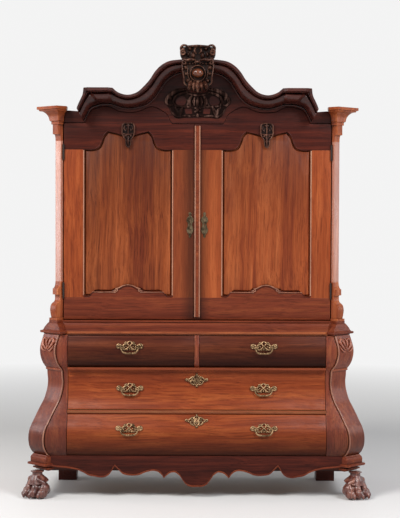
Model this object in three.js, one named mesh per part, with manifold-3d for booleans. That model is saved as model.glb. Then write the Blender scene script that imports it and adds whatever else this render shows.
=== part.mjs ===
// A Dutch rococo kas: a two-door cabinet with an arched, carved cornice on a bombe chest of drawers.
// Millimetres, +X right, +Y back, +Z up. The origin is on the floor under the middle of the whole piece.

import * as THREE from 'three';
import { mergeVertices } from 'three/addons/utils/BufferGeometryUtils.js';
import Module from 'manifold-3d';

const wasm = await Module();
wasm.setup();

// Fits
const seatGap = 0.3; // between two pieces that rest on each other
const overrun = 2; // how far a cutting form runs past what it cuts
const drawerGap = 3; // above and below each drawer front
const drawerSideGap = 2; // at each end of a drawer front
const doorGap = 4; // above the shaped heads of the doors
const doorFootGap = 5; // under the doors
const doorSideGap = 5.5; // between a door and the jamb that it hangs on
const doorMeetGap = 2; // between the two doors

// Heights, stacked from the floor up
const footHeight = 147;
const plinthHeight = 88;
const bottomDrawerHeight = 221;
const lowerRailHeight = 20;
const middleDrawerHeight = 215;
const upperRailHeight = 12;
const topDrawerHeight = 172;
const waistHeight = 79;
const doorShoulderHeight = 1087; // a door's straight edge, from its foot to its shoulder
const headHeight = 344; // from the doors' shoulders to the top of the arch
const cornerHeadHeight = 72; // from the doors' shoulders to the top of the flat corners
const capitalAboveShoulder = 89; // from the doors' shoulders to the top of the capitals
const caseAboveShoulder = 70; // from the doors' shoulders to the top of the plain case behind

const plinthTop = footHeight + plinthHeight;
const bottomDrawerZ = plinthTop + drawerGap;
const lowerRailZ = bottomDrawerZ + bottomDrawerHeight + drawerGap;
const middleDrawerZ = lowerRailZ + lowerRailHeight + drawerGap;
const upperRailZ = middleDrawerZ + middleDrawerHeight + drawerGap;
const topDrawerZ = upperRailZ + upperRailHeight + drawerGap;
const chestTopZ = topDrawerZ + topDrawerHeight + drawerGap;
const waistTop = chestTopZ + waistHeight;
const doorFootZ = waistTop + doorFootGap;
const shoulderZ = doorFootZ + doorShoulderHeight;

// Plan of the whole piece
const backY = 350; // the flat back of chest and cabinet
const chestFrontY = 213.5; // the chest's front, ahead of the origin, where it doesn't swell
const doorFrontY = 165; // the doors' front, ahead of the origin
const cantOrigin = 615; // where the diagonals through the two front corners would meet the middle plane
const cabinetHalfWidth = cantOrigin + doorFrontY;
const chestHalfWidth = cantOrigin + chestFrontY;

// Boards
const sideThickness = 22;
const backThickness = 12;
const boardThickness = 20;
const bottomBoardThickness = 12;
const shelfShares = [0.3, 0.6]; // of the cabinet's height
const dustBoardThickness = 8;

// The chest's swelling front and sides: height share of the case, share of the deepest swell
const bellySwell = 96;
const swellShares = [
  [0, 0.73], [0.018, 0.82], [0.043, 0.9], [0.068, 0.96], [0.099, 0.99], [0.129, 1], [0.19, 0.96],
  [0.233, 0.875], [0.278, 0.73], [0.34, 0.54], [0.39, 0.375], [0.448, 0.18], [0.5, 0.07],
  [0.558, -0.01], [0.602, -0.03], [0.658, 0], [0.708, 0.04], [0.725, 0.115], [0.751, 0.22],
  [0.784, 0.31], [0.827, 0.375], [0.868, 0.395], [0.91, 0.365], [0.951, 0.29], [1, 0.19],
];
const postHalfWidth = 65.8; // of the canted face
const postProud = 8; // ahead of the chest's front and side
const postDepth = 45;
const railDepth = 60;
const railBead = 4;
const postStile = 30.4; // from the drawers to the posts' arrises, where the chest doesn't swell
const stileX = chestHalfWidth + postProud - postHalfWidth * Math.SQRT2 - postStile;
const drawerHalfWidth = stileX - drawerSideGap;

// Drawers
const drawerFrontThickness = 24; // at its thinnest
const drawerWall = 12;
const drawerBottomThickness = 8;
const drawerBoxInset = 8; // a box's side, in from the end of its front
const drawerBoxShorter = 16; // a box's side, lower than its front
const drawerBoxBackY = 300;
const dividerHalfWidth = 13;

// Doors
const doorThickness = 28;
const stileWidth = 112;
const lockStileWidth = 138.5;
const bottomRailHeight = 129;
const doorHeadMargin = 136; // from the top of a panel opening to the top of its door
const panelRebate = 10; // how far a panel runs behind its frame
const panelLip = 14; // the frame in front of a panel
const panelThickness = 9;
const panelMargin = 38; // from the opening to the raised field
const panelRaise = 8;
const astragalHalfWidth = 16;
const astragalDepth = 11;
const astragalInset = 13;
const astragalSides = 8;

// Hinge pins and lock
const hingePinRadius = 5.3;
const hingePinLength = 90;
const hingePinSides = 12;
const hingePinInset = 160; // from a door's foot and shoulder
const hingePinOutset = 1.2; // its axis, out from the door's edge
const boltLength = 58;
const boltHeight = 22;
const boltThickness = 10;
const boltClearance = 0.5;
const boltThrow = 13;
const boltAboveFoot = 525;

// Pilaster at each front corner of the cabinet, across its canted face
const shaftHalfWidth = 23.85;
const shaftProud = 9.7; // ahead of the doors
const jambWidth = 11.2;
const jambDepth = 55;
const pilasterBaseHeight = 214;
const capitalHeight = 188;
const capitalProud = 82.5;
const capitalHalfWidth = 86.9;
const capitalReturnDepth = 62; // how far the capital's wing stands ahead of the doors
const shaftReturn = 0.5; // how far the shaft's return stands ahead of the doors
// height share of the base, proud share of the capital's, half width share from shaft to capital
const baseShares = [
  [0, 0.44, 0.15], [0.055, 0.44, 0.15], [0.06, 0.36, 0], [0.15, 0.42, 0], [0.3, 0.46, 0], [0.4, 0.38, 0],
  [0.5, 0.07, 0], [0.61, 0.04, 0], [0.65, 0.05, 0], [0.66, 0.24, 0], [0.81, 0.24, 0], [0.83, 0.14, 0],
  [0.9, 0.04, 0], [1, 0, 0],
];
const capitalShares = [
  [0, 0, 0], [0.12, 0.02, 0], [0.19, 0.07, 0], [0.2, 0.24, 0], [0.48, 0.24, 0], [0.49, 0.28, 0.14],
  [0.57, 0.28, 0.14], [0.59, 0.37, 0.23], [0.72, 0.43, 0.32], [0.8, 0.53, 0.46], [0.86, 0.7, 0.67],
  [0.87, 0.86, 0.84], [0.91, 0.9, 0.88], [0.92, 1, 1], [1, 1, 1],
];

// Waist moulding on top of the chest
const waistFrontY = 205; // at its top
const waistProjection = 30; // of its lip
const waistCornerProud = 58.6;
const waistCornerHalfWidth = 87.3;
const waistCornerDepth = 60;
const waistCantProud = 10; // of the case behind the corner block
const waistBoard = 24; // left above the hollow
const waistHollowMargin = 45;
const waistShares = [
  [0, 0.45], [0.07, 0.6], [0.12, 1], [0.33, 1], [0.36, 0.7], [0.42, 0.6], [0.62, 0.35], [0.87, 0.25],
  [0.9, 0], [1, 0],
];
const waistCornerShares = [
  [0, 0.72, 0.8], [0.05, 0.77, 0.86], [0.1, 1, 1], [0.33, 1, 1], [0.35, 0.85, 0.87], [0.53, 0.77, 0.69],
  [0.78, 0.69, 0.48], [0.85, 0.62, 0.41], [1, 0.62, 0.41],
];

// Plinth
const plinthSideProud = 74.5; // ahead of the chest's side, where it doesn't swell
const plinthRailProud = 43.2;
const plinthSideX = chestHalfWidth + plinthSideProud;
const plinthRailFrontY = chestFrontY + plinthRailProud;
const plinthRailDepth = 27;
const plinthSideWidth = 43;
const plinthBackDepth = 50;
const plinthCornerProud = 140;
const plinthCornerHalfWidth = 66.4;
const plinthCornerDepth = 75;
const plinthCantProud = 100; // of the rails behind the corner block
const plinthFlare = 17;
const plinthShares = [
  [0, -0.6], [0.12, -0.3], [0.15, 0.3], [0.2, 0.3], [0.22, 0], [0.35, 0.6], [0.45, 1], [0.52, 0.95],
  [0.6, 0.4], [0.7, 0], [0.9, -0.15], [0.96, -0.6], [1, -1],
];
const apronEndInset = 101; // from the plinth's side
const apronHalfWidth = plinthSideX - apronEndInset;
const apronThickness = 24;
const apronDrop = 173; // from the plinth's top to the apron's lowest point
const apronBand = 14; // the proud edge along its foot
const apronBandProud = 4;
const apronShares = [
  [1, 0.35], [0.95, 0.38], [0.88, 0.41], [0.81, 0.48], [0.77, 0.56], [0.74, 0.64], [0.7, 0.68],
  [0.65, 0.71], [0.62, 0.68], [0.6, 0.62], [0.575, 0.45], [0.56, 0.34], [0.53, 0.48], [0.505, 0.59],
  [0.46, 0.64], [0.39, 0.62], [0.36, 0.56], [0.325, 0.51], [0.29, 0.49], [0.26, 0.53], [0.24, 0.61],
  [0.223, 0.73], [0.205, 0.64], [0.18, 0.56], [0.15, 0.54], [0.123, 0.61], [0.095, 0.78], [0.067, 0.94],
  [0.033, 1],
];

// Feet
const pawPadProud = 140.65; // the middle of the paw, along the diagonal from the shaft's face
const pawPadHalfLength = 68;
const pawPadHalfWidth = 68;
const pawPadHeight = 116;
const ankleRadius = 44; // at its foot
const ankleTopRadius = 27;
const ankleProud = 132;
const ankleFootZ = 60;
const toeRadius = 26;
const toeLength = 33;
const toeHeight = 27;
const toeReachShares = [1.28, 1.41, 1.41, 1.28]; // of the paw's place along the diagonal
const toeSideShares = [-0.71, -0.25, 0.25, 0.71]; // of the pad's half width
const clawRadius = 8;
const clawLength = 26;
const clawDroop = Math.PI / 5;
const roundSides = 16; // round a ball or a cylinder
const roundSteps = 10; // from pole to pole
const toeSides = 12;
const toeSteps = 8;
const clawSides = 8;
const rearFootInset = 148; // its middle, from the plinth's side
const rearFootX = plinthSideX - rearFootInset;
const rearFootWidth = 106;
const rearFootDepth = 104;

// Head of the cabinet: share of the half width between the jambs, share of the head's height
const doorHeadShares = [
  [0.843, 0], [0.834, 0.006], [0.81, 0.125], [0.782, 0.209], [0.75, 0.238], [0.72, 0.255], [0.692, 0.267],
  [0.635, 0.244], [0.58, 0.186], [0.539, 0.174], [0.469, 0.174], [0.421, 0.201], [0.373, 0.244],
  [0.345, 0.262], [0.296, 0.233], [0.261, 0.192], [0.227, 0.14], [0.206, 0.049], [0.188, -0.012],
];
const doorPeakShare = Math.max(...doorHeadShares.map(([, height]) => height));
const corniceFootShares = [
  [0.839, 0.012], [0.815, 0.112], [0.782, 0.225], [0.72, 0.271], [0.638, 0.281], [0.58, 0.24], [0.511, 0.217],
  [0.434, 0.24], [0.373, 0.281], [0.316, 0.384], [0.275, 0.515], [0.24, 0.634], [0.192, 0.73],
  [0.107, 0.797], [0, 0.817],
];
const corniceTopShares = [
  [0.885, 0.215], [0.871, 0.294], [0.842, 0.43], [0.835, 0.538], [0.622, 0.538], [0.586, 0.474],
  [0.516, 0.43], [0.442, 0.474], [0.395, 0.564], [0.351, 0.672], [0.312, 0.8], [0.272, 0.89],
  [0.221, 0.956], [0.121, 0.991], [0, 1],
];
const corniceProjection = 122;
const corniceBlockProjection = 147;
const corniceBlockShares = [0.622, 0.835]; // where its top breaks forward, of the half width between the jambs
// share from the cornice's foot to its top, share of its projection
const corniceProfileShares = [
  [0, 0], [0, 0.06], [0.1, 0.08], [0.12, 0.2], [0.35, 0.26], [0.5, 0.38], [0.62, 0.58], [0.7, 0.82],
  [0.78, 0.9], [0.8, 1], [1, 1], [1, 0],
];
const pedimentBelowCornice = 8;
const pedimentStop = 12; // how far its back laps down behind the doors
const pedimentStopThickness = 10;

// Cresting over the arch
const crestHalfWidth = 99;
const crestThickness = 40;
const crestAboveArch = 77;
const crestBelowArch = 158;
const crestBackDepth = 38;
const bossHalfWidth = 40;
const bossHalfHeight = 36;
const bossDepth = 16;
const bossHeightShare = 0.34;
// share of the half width, share of the height from foot to top
const crestShares = [
  [0, 0], [0.25, 0.06], [0.5, 0.04], [0.55, 0.16], [0.68, 0.22], [0.62, 0.34], [0.86, 0.4], [0.84, 0.55],
  [0.8, 0.66], [0.62, 0.7], [0.66, 0.76], [0.94, 0.78], [1, 0.86], [0.86, 0.93], [0.6, 0.97], [0.3, 1],
  [0, 1],
];

// Panel openings: share of the half width, share of the head's or foot's shaped height
const panelHeadHeight = 102;
const panelFootHeight = 56;
const panelHeadShares = [
  [1, 0], [0.77, 0.02], [0.67, 0.12], [0.6, 0.41], [0.55, 0.76], [0.46, 1], [0.28, 0.9], [0, 0.74],
];
const panelFootShares = [
  [0, 1], [0.1, 0.93], [0.2, 0.68], [0.25, 0.62], [0.33, 0.58], [0.375, 0.44], [0.49, 0.4], [0.63, 0.42],
  [0.74, 0.44], [0.79, 0.38], [0.87, 0], [1, 0],
];

// Brass
const plateHalfWidth = 74;
const plateHalfHeight = 36;
const plateThickness = 3;
const handleShare = 0.52; // of the drawers' half width
const handleX = drawerHalfWidth * handleShare;
const handleHeightShares = [0.64, 0.49, 0.63]; // bottom, middle and top drawer
const plateShares = [
  [0, 1], [0.25, 0.94], [0.36, 0.7], [0.42, 0.42], [0.66, 0.5], [1, 0.36], [0.98, 0.02], [0.76, -0.2],
  [0.5, -0.3], [0.34, -0.62], [0.2, -0.6], [0, -1],
];
const eyeX = 36;
const eyeRadius = 6;
const eyeLength = 14;
const eyeSides = 12;
const bailRadius = 3.2;
const bailReach = 9.5; // its pivot, ahead of the plate
const bailHalfWidth = 48;
const bailDrop = 36;
const bailEndGap = 1; // between the bail and the eyes that it hangs in
const bailShares = [[0.95, 0], [1, -0.2], [0.95, -0.5], [0.75, -0.8], [0.4, -0.96], [0, -1]];
const bailSides = 8;
const bailSteps = 24;
const doorPlateHalfWidth = 19.5;
const doorPlateHalfHeight = 73;
const doorPlateX = 40;
const doorPlateThickness = 2.5;
const keyholeHalfWidth = 3;
const keyholeHalfHeight = 9;
const keyholeShares = [[0, 1], [1, 0.6], [0.5, 0], [0.8, -1], [0, -1]];
const doorPlateShares = [
  [0, 1], [0.4, 0.9], [0.3, 0.7], [0.8, 0.55], [1, 0.3], [0.6, 0.12], [0.75, -0.15], [1, -0.35],
  [0.7, -0.6], [0.35, -0.7], [0.3, -0.9], [0, -1],
];

// Materials

function finish(color, roughness, metalness = 0) {
  return new THREE.MeshStandardMaterial({ color, roughness, metalness });
}

const walnut = finish(0x7a2f12, 0.35);
const darkWalnut = finish(0x45160b, 0.35);
const carvedWood = finish(0x2c0f09, 0.4);
const panelWood = finish(0x8a3a14, 0.32);
const caseWood = finish(0x5f3219, 0.6);
const brass = finish(0x9a7a3e, 0.35, 0.9);
const iron = finish(0x3b3835, 0.5, 0.8);

// Solid forms

function indexed(geometry) {
  const plain = geometry.clone();
  plain.deleteAttribute('normal');
  plain.deleteAttribute('uv');
  return mergeVertices(plain);
}

function solid(geometry) {
  const merged = indexed(geometry);
  return new wasm.Manifold(new wasm.Mesh({
    numProp: 3,
    vertProperties: new Float32Array(merged.attributes.position.array),
    triVerts: new Uint32Array(merged.index.array),
  }));
}

function surface(manifold) {
  const mesh = manifold.getMesh();
  const geometry = new THREE.BufferGeometry();
  geometry.setAttribute('position', new THREE.BufferAttribute(new Float32Array(mesh.vertProperties), 3));
  geometry.setIndex(new THREE.BufferAttribute(new Uint32Array(mesh.triVerts), 1));
  return geometry;
}

function fuse(first, ...others) {
  return surface(others.reduce((whole, next) => whole.add(solid(next)), solid(first)));
}

function cut(geometry, ...tools) {
  return surface(tools.reduce((whole, tool) => whole.subtract(solid(tool)), solid(geometry)));
}

function box(x0, x1, y0, y1, z0, z1) {
  const geometry = new THREE.BoxGeometry(x1 - x0, y1 - y0, z1 - z0);
  return geometry.translate((x0 + x1) / 2, (y0 + y1) / 2, (z0 + z1) / 2);
}

// A closed outline, turned anticlockwise
function shapeOf(points) {
  const outline = points.map(([a, b]) => new THREE.Vector2(a, b));
  return new THREE.Shape(THREE.ShapeUtils.isClockWise(outline) ? outline.reverse() : outline);
}

// An outline in X and Z, from yBack forward by a thickness
function upright(points, yBack, thickness, holes = []) {
  const shape = shapeOf(points);
  shape.holes = holes.map(shapeOf);
  const geometry = new THREE.ExtrudeGeometry(shape, { depth: thickness, bevelEnabled: false });
  const turn = new THREE.Matrix4().makeBasis(
    new THREE.Vector3(1, 0, 0), new THREE.Vector3(0, 0, 1), new THREE.Vector3(0, -1, 0));
  return geometry.applyMatrix4(turn).translate(0, yBack, 0);
}

// A profile in Y and Z, from x0 to x1
function lengthwise(points, x0, x1) {
  const geometry = new THREE.ExtrudeGeometry(shapeOf(points), { depth: x1 - x0, bevelEnabled: false });
  const turn = new THREE.Matrix4().makeBasis(
    new THREE.Vector3(0, 1, 0), new THREE.Vector3(0, 0, 1), new THREE.Vector3(1, 0, 0));
  return geometry.applyMatrix4(turn).translate(x0, 0, 0);
}

// An outline in X and Y, from z0 to z1
function level(points, z0, z1) {
  const geometry = new THREE.ExtrudeGeometry(shapeOf(points), { depth: z1 - z0, bevelEnabled: false });
  return geometry.translate(0, 0, z0);
}

// A closed skin over rings of points, with both ends capped; flat gives a point's place in the caps
function loft(rings, flat) {
  const count = rings[0].length;
  const faces = [];
  for (let ring = 0; ring + 1 < rings.length; ring += 1) {
    for (let side = 0; side < count; side += 1) {
      const here = ring * count + side;
      const next = ring * count + (side + 1) % count;
      faces.push(here, next, next + count, here, next + count, here + count);
    }
  }
  const last = (rings.length - 1) * count;
  const capOf = (ring) => THREE.ShapeUtils.triangulateShape(ring.map(flat), []);
  const clockwise = THREE.ShapeUtils.isClockWise(rings[0].map(flat));
  const firstCap = capOf(rings[0]);
  const lastCap = capOf(rings[rings.length - 1]);
  firstCap.forEach(([a, b, c]) => faces.push(...(clockwise ? [a, b, c] : [a, c, b])));
  lastCap.forEach(([a, b, c]) => faces.push(...(clockwise ? [last + a, last + c, last + b]
    : [last + a, last + b, last + c])));
  const geometry = new THREE.BufferGeometry();
  const places = rings.flat().flatMap((point) => point.toArray());
  geometry.setAttribute('position', new THREE.Float32BufferAttribute(places, 3));
  geometry.setIndex(faces);
  return outward(geometry);
}

function outward(geometry) {
  const place = geometry.attributes.position;
  const index = geometry.index.array;
  const [a, b, c] = [new THREE.Vector3(), new THREE.Vector3(), new THREE.Vector3()];
  let volume = 0;
  for (let face = 0; face < index.length; face += 3) {
    a.fromBufferAttribute(place, index[face]);
    b.fromBufferAttribute(place, index[face + 1]);
    c.fromBufferAttribute(place, index[face + 2]);
    volume += a.dot(b.cross(c));
  }
  if (volume < 0) {
    geometry.setIndex(Array.from(index).reverse());
  }
  return geometry;
}

// Rings in plan, one at each height
function stack(levels) {
  const rings = levels.map(([z, points]) => points.map(([x, y]) => new THREE.Vector3(x, y, z)));
  return loft(rings, (point) => new THREE.Vector2(point.x, point.y));
}

function mirrored(geometry) {
  const copy = indexed(geometry).applyMatrix4(new THREE.Matrix4().makeScale(-1, 1, 1));
  copy.setIndex(Array.from(copy.index.array).reverse());
  return copy;
}

function named(name, geometry, material) {
  const mesh = new THREE.Mesh(geometry, material);
  mesh.name = name;
  return mesh;
}

function pair(name, geometry, material) {
  return [named(`${name}_right`, geometry, material), named(`${name}_left`, mirrored(geometry), material)];
}

// The chest's swell at a height
function swellAt(z) {
  const share = (z - plinthTop) / (chestTopZ - plinthTop);
  const above = swellShares.findIndex(([height]) => height >= share);
  const next = above < 0 ? swellShares.length - 1 : Math.max(1, above);
  const [lowHeight, lowSwell] = swellShares[next - 1];
  const [highHeight, highSwell] = swellShares[next];
  return bellySwell * THREE.MathUtils.mapLinear(share, lowHeight, highHeight, lowSwell, highSwell);
}

function swellHeights(z0, z1) {
  const heights = swellShares.map(([share]) => THREE.MathUtils.lerp(plinthTop, chestTopZ, share));
  return [z0, ...heights.filter((z) => z > z0 + overrun && z < z1 - overrun), z1];
}

function leastSwell(z0, z1) {
  return Math.min(...swellHeights(z0, z1).map(swellAt));
}

// The corner's own frame: proud is along the diagonal, out of the shaft's face, and side is across it
const shaftFaceX = cabinetHalfWidth + shaftProud - shaftHalfWidth * Math.SQRT1_2;

function corner(proud, side) {
  return [
    shaftFaceX + (proud + side) * Math.SQRT1_2,
    cantOrigin - shaftFaceX - (proud - side) * Math.SQRT1_2,
  ];
}

function acrossCorner([x, y]) {
  return [cantOrigin - y, cantOrigin - x];
}

// A rectangle across the corner
function cornerBlock(proud, halfWidth, depth) {
  return [
    corner(proud - depth, -halfWidth), corner(proud, -halfWidth),
    corner(proud, halfWidth), corner(proud - depth, halfWidth),
  ];
}

// A plan with both front corners cut off at 45 degrees, where the corner's frame says
function cantedPlan(front, sideX, proud) {
  const cant = 2 * shaftFaceX - cantOrigin + proud * Math.SQRT2;
  return [
    [sideX, backY], [sideX, sideX - cant], [cant - front, -front],
    [front - cant, -front], [-sideX, sideX - cant], [-sideX, backY],
  ];
}

// Chest

const caseFootZ = plinthTop + seatGap;
const caseHeadZ = chestTopZ - seatGap;
const backFaceY = backY - backThickness - seatGap;
const railHalfLength = stileX - seatGap;

// A drawer row: its front's foot and height, and the level that its boxes run on
const bottomRow = {
  z: bottomDrawerZ, height: bottomDrawerHeight, floor: caseFootZ + bottomBoardThickness,
};
const middleRow = { z: middleDrawerZ, height: middleDrawerHeight, floor: lowerRailZ + lowerRailHeight };
const topRow = { z: topDrawerZ, height: topDrawerHeight, floor: upperRailZ + upperRailHeight };

// The plan of a corner post at a height
function postPlan(z) {
  const swell = swellAt(z);
  const caseFront = chestFrontY + swell;
  const front = caseFront + postProud;
  const width = postHalfWidth * Math.SQRT2;
  const arrisX = cantOrigin + front - width;
  const outerY = width - front;
  return [
    [stileX, -caseFront], [arrisX, -caseFront], [arrisX, -front],
    [chestHalfWidth + swell + postProud, outerY], [arrisX, outerY], [stileX, postDepth - caseFront],
  ];
}

// Where the posts end and the sides begin, at a swell
function postBackY(swell) {
  return postHalfWidth * Math.SQRT2 - chestFrontY - postProud - swell;
}

function cornerPost() {
  return stack(swellHeights(caseFootZ, caseHeadZ).map((z) => [z, postPlan(z)]));
}

function chestSide() {
  return stack(swellHeights(caseFootZ, caseHeadZ).map((z) => {
    const outer = chestHalfWidth + swellAt(z);
    const inner = outer - sideThickness;
    const front = postBackY(swellAt(z)) + seatGap;
    return [z, [[inner, front], [outer, front], [outer, backY], [inner, backY]]];
  }));
}

function chestBack() {
  const inner = chestHalfWidth - sideThickness - seatGap;
  const half = swellHeights(caseFootZ, caseHeadZ).map((z) => [inner + swellAt(z), z]);
  return upright([...half, ...half.slice().reverse().map(([x, z]) => [-x, z])], backY, backThickness);
}

function chestBottom() {
  const top = caseFootZ + bottomBoardThickness;
  const swell = leastSwell(caseFootZ, top);
  const side = chestHalfWidth + swell - sideThickness - seatGap;
  const shoulder = postBackY(swell) + seatGap;
  const half = [
    [side, backFaceY], [side, shoulder], [railHalfLength, shoulder],
    [railHalfLength, drawerBack(bottomRow) + seatGap],
  ];
  return level([...half, ...half.slice().reverse().map(([x, y]) => [-x, y])], caseFootZ, top);
}

// A moulded rail between two rows of drawers, with the dust board behind it
function drawerRail(z, height) {
  const front = -chestFrontY - swellAt(z + height / 2);
  const dustFoot = z + height - dustBoardThickness;
  const profile = [
    [front, z], [front - railBead, z + height / 3], [front - railBead, z + 2 * height / 3],
    [front, z + height], [backFaceY, z + height], [backFaceY, dustFoot],
    [front + railDepth, dustFoot], [front + railDepth, z],
  ];
  return lengthwise(profile, -railHalfLength, railHalfLength);
}

function drawerDivider() {
  const foot = topRow.floor + seatGap;
  const front = swellHeights(foot, caseHeadZ).map((z) => [-chestFrontY - swellAt(z), z]);
  return lengthwise([...front, [backFaceY, caseHeadZ], [backFaceY, foot]], -dividerHalfWidth, dividerHalfWidth);
}

// The flat back of a row's drawer fronts
function drawerBack(row) {
  return drawerFrontThickness - chestFrontY - leastSwell(row.z, row.z + row.height);
}

function drawerFront(row, x0, x1) {
  const head = row.z + row.height;
  const front = swellHeights(row.z, head).map((z) => [-chestFrontY - swellAt(z), z]);
  return lengthwise([...front, [drawerBack(row), head], [drawerBack(row), row.z]], x0, x1);
}

function drawerBox(row, x0, x1) {
  const foot = row.floor + seatGap;
  const head = row.z + row.height - drawerBoxShorter;
  const front = drawerBack(row) + seatGap;
  const [left, right] = [x0 + drawerBoxInset, x1 - drawerBoxInset];
  const inside = box(left + drawerWall, right - drawerWall, front + drawerWall, drawerBoxBackY - drawerWall,
    foot + drawerBottomThickness, head + overrun);
  return cut(box(left, right, front, drawerBoxBackY, foot, head), inside);
}

function waistMoulding() {
  const main = stack(waistShares.map(([height, share]) => {
    const front = waistFrontY + waistProjection * share;
    return [chestTopZ + waistHeight * height, cantedPlan(front, cantOrigin + front, waistCantProud)];
  }));
  const block = stack(waistCornerShares.map(([height, proud, width]) => [
    chestTopZ + waistHeight * height,
    cornerBlock(waistCornerProud * proud, waistCornerHalfWidth * width, waistCornerDepth),
  ]));
  const side = cantOrigin + waistFrontY - waistHollowMargin;
  const hollow = box(-side, side, waistHollowMargin - waistFrontY, backY - waistHollowMargin,
    chestTopZ - overrun, waistTop - waistBoard);
  return cut(fuse(main, block, mirrored(block)), hollow);
}

// Plinth, apron and feet

function plinthCorner(gap) {
  return stack(plinthShares.map(([height, flare]) => [
    footHeight + plinthHeight * height,
    cornerBlock(plinthCornerProud + plinthFlare * flare + gap,
      plinthCornerHalfWidth + plinthFlare * flare / 2 + gap, plinthCornerDepth + gap),
  ]));
}

function plinth() {
  const rails = stack(plinthShares.map(([height, flare]) => [
    footHeight + plinthHeight * height,
    cantedPlan(plinthRailFrontY, plinthSideX + plinthFlare * flare / 2, plinthCantProud),
  ]));
  const side = plinthSideX - plinthSideWidth;
  const hollow = box(-side, side, plinthRailDepth - plinthRailFrontY, backY - plinthBackDepth,
    footHeight - overrun, plinthTop + overrun);
  const block = plinthCorner(0);
  return fuse(cut(rails, hollow), block, mirrored(block));
}

function apron() {
  const back = -plinthRailFrontY - seatGap;
  const right = apronShares.map(([x, drop]) => [apronHalfWidth * x, plinthTop - apronDrop * drop]);
  const foot = [...right, [0, plinthTop - apronDrop], ...right.slice().reverse().map(([x, z]) => [-x, z])];
  const board = upright([...foot, [-apronHalfWidth, plinthTop], [apronHalfWidth, plinthTop]], back,
    apronThickness);
  const bandHead = foot.slice().reverse().map(([x, z]) => [x, z + apronBand]);
  const band = upright([...foot, ...bandHead], back - apronThickness + seatGap, apronBandProud + seatGap);
  const block = plinthCorner(seatGap);
  return cut(fuse(board, band), block, mirrored(block));
}

// An egg-shaped form, long along the diagonal
function ball([x, y], z, length, width, height, across, up) {
  const geometry = new THREE.SphereGeometry(1, across, up).rotateX(Math.PI / 2);
  return geometry.scale(length, width, height).rotateZ(-Math.PI / 4).translate(x, y, z);
}

function pawFoot() {
  const pad = ball(corner(pawPadProud, 0), pawPadHeight / 2, pawPadHalfLength, pawPadHalfWidth,
    pawPadHeight / 2, roundSides, roundSteps);
  const ankleHeight = footHeight - seatGap - ankleFootZ;
  const ankle = new THREE.CylinderGeometry(ankleTopRadius, ankleRadius, ankleHeight, roundSides)
    .rotateX(Math.PI / 2)
    .translate(...corner(ankleProud, 0), ankleFootZ + ankleHeight / 2);
  const toes = toeReachShares.flatMap((reach, toe) => {
    const side = pawPadHalfWidth * toeSideShares[toe];
    const tip = ball(corner(pawPadProud * reach, side), toeHeight, toeLength, toeRadius, toeHeight, toeSides,
      toeSteps);
    const claw = new THREE.ConeGeometry(clawRadius, clawLength, clawSides)
      .rotateZ(-Math.PI / 2)
      .rotateY(clawDroop)
      .rotateZ(-Math.PI / 4)
      .translate(...corner(pawPadProud * reach + toeLength, side), toeHeight);
    return [tip, claw];
  });
  const ground = box(0, 2 * plinthSideX, -plinthSideX, 0, -footHeight, 0);
  return cut(fuse(pad, ankle, ...toes), ground);
}

function rearFoot() {
  const half = rearFootWidth / 2;
  return box(rearFootX - half, rearFootX + half, backY - rearFootDepth, backY, 0, footHeight - seatGap);
}

// Cabinet case

const boardHalfWidth = cabinetHalfWidth - sideThickness - seatGap;
const jambX = boardHalfWidth - jambWidth;
const jambBackY = jambDepth - doorFrontY;
const cabinetFootZ = waistTop + seatGap;
const cabinetTopZ = shoulderZ + caseAboveShoulder;
const sideFrontY = corner(0, shaftHalfWidth)[1];

function cabinetSide() {
  return box(cabinetHalfWidth - sideThickness, cabinetHalfWidth, sideFrontY + seatGap, backY,
    cabinetFootZ, cabinetTopZ);
}

function cabinetBoard(z) {
  return box(-boardHalfWidth, boardHalfWidth, jambBackY + seatGap, backFaceY, z, z + boardThickness);
}

// A pilaster's plan: the jamb that the door meets, and the canted face ahead of it
function pilasterPlan(proud, widthShare) {
  const halfWidth = THREE.MathUtils.lerp(shaftHalfWidth, capitalHalfWidth, widthShare);
  const wallY = -doorFrontY - seatGap;
  const arris = corner(proud, -halfWidth);
  const returnY = wallY - Math.max(shaftReturn, capitalReturnDepth * widthShare);
  const returnEnd = [arris[0] + arris[1] - returnY, returnY];
  const atWall = [returnEnd[0], wallY];
  return [
    [jambX, jambBackY], [jambX, wallY], atWall, returnEnd, arris,
    acrossCorner(arris), acrossCorner(returnEnd), acrossCorner(atWall),
    [cabinetHalfWidth + seatGap, sideFrontY], [boardHalfWidth, sideFrontY], [boardHalfWidth, jambBackY],
  ];
}

function pilaster() {
  const capitalTop = shoulderZ + capitalAboveShoulder;
  const at = (foot, height) => ([share, proud, width]) => [
    foot + height * share, pilasterPlan(capitalProud * proud, width),
  ];
  return stack([
    ...baseShares.map(at(cabinetFootZ, pilasterBaseHeight)),
    ...capitalShares.map(at(capitalTop - capitalHeight, capitalHeight)),
  ]);
}

// Head of the cabinet

function headPoint([x, height]) {
  return [jambX * x, shoulderZ + headHeight * height];
}

function raised(points, rise) {
  return points.map(([x, z]) => [x, z + rise]);
}

function pediment() {
  const end = jambX - seatGap;
  const foot = raised([[end, shoulderZ], ...doorHeadShares.map(headPoint)], doorGap);
  const head = [
    ...raised(corniceTopShares.map(headPoint), -pedimentBelowCornice).reverse(),
    [end, shoulderZ + cornerHeadHeight],
  ];
  const left = (points) => points.slice().reverse().map(([x, z]) => [-x, z]);
  const outline = (rise) => {
    const edge = raised(foot, rise);
    return [...edge, ...left(edge), ...left(head), ...head.slice(1)];
  };
  const back = doorBackY + seatGap + pedimentStopThickness;
  return fuse(upright(outline(0), back, doorThickness + seatGap + pedimentStopThickness),
    upright(outline(-pedimentStop), back, pedimentStopThickness));
}

function corniceRing(foot, top, projection) {
  return corniceProfileShares.map(([up, out]) => new THREE.Vector3(
    THREE.MathUtils.lerp(foot[0], top[0], up),
    -doorFrontY - seatGap - projection * out,
    THREE.MathUtils.lerp(foot[1], top[1], up),
  ));
}

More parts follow.
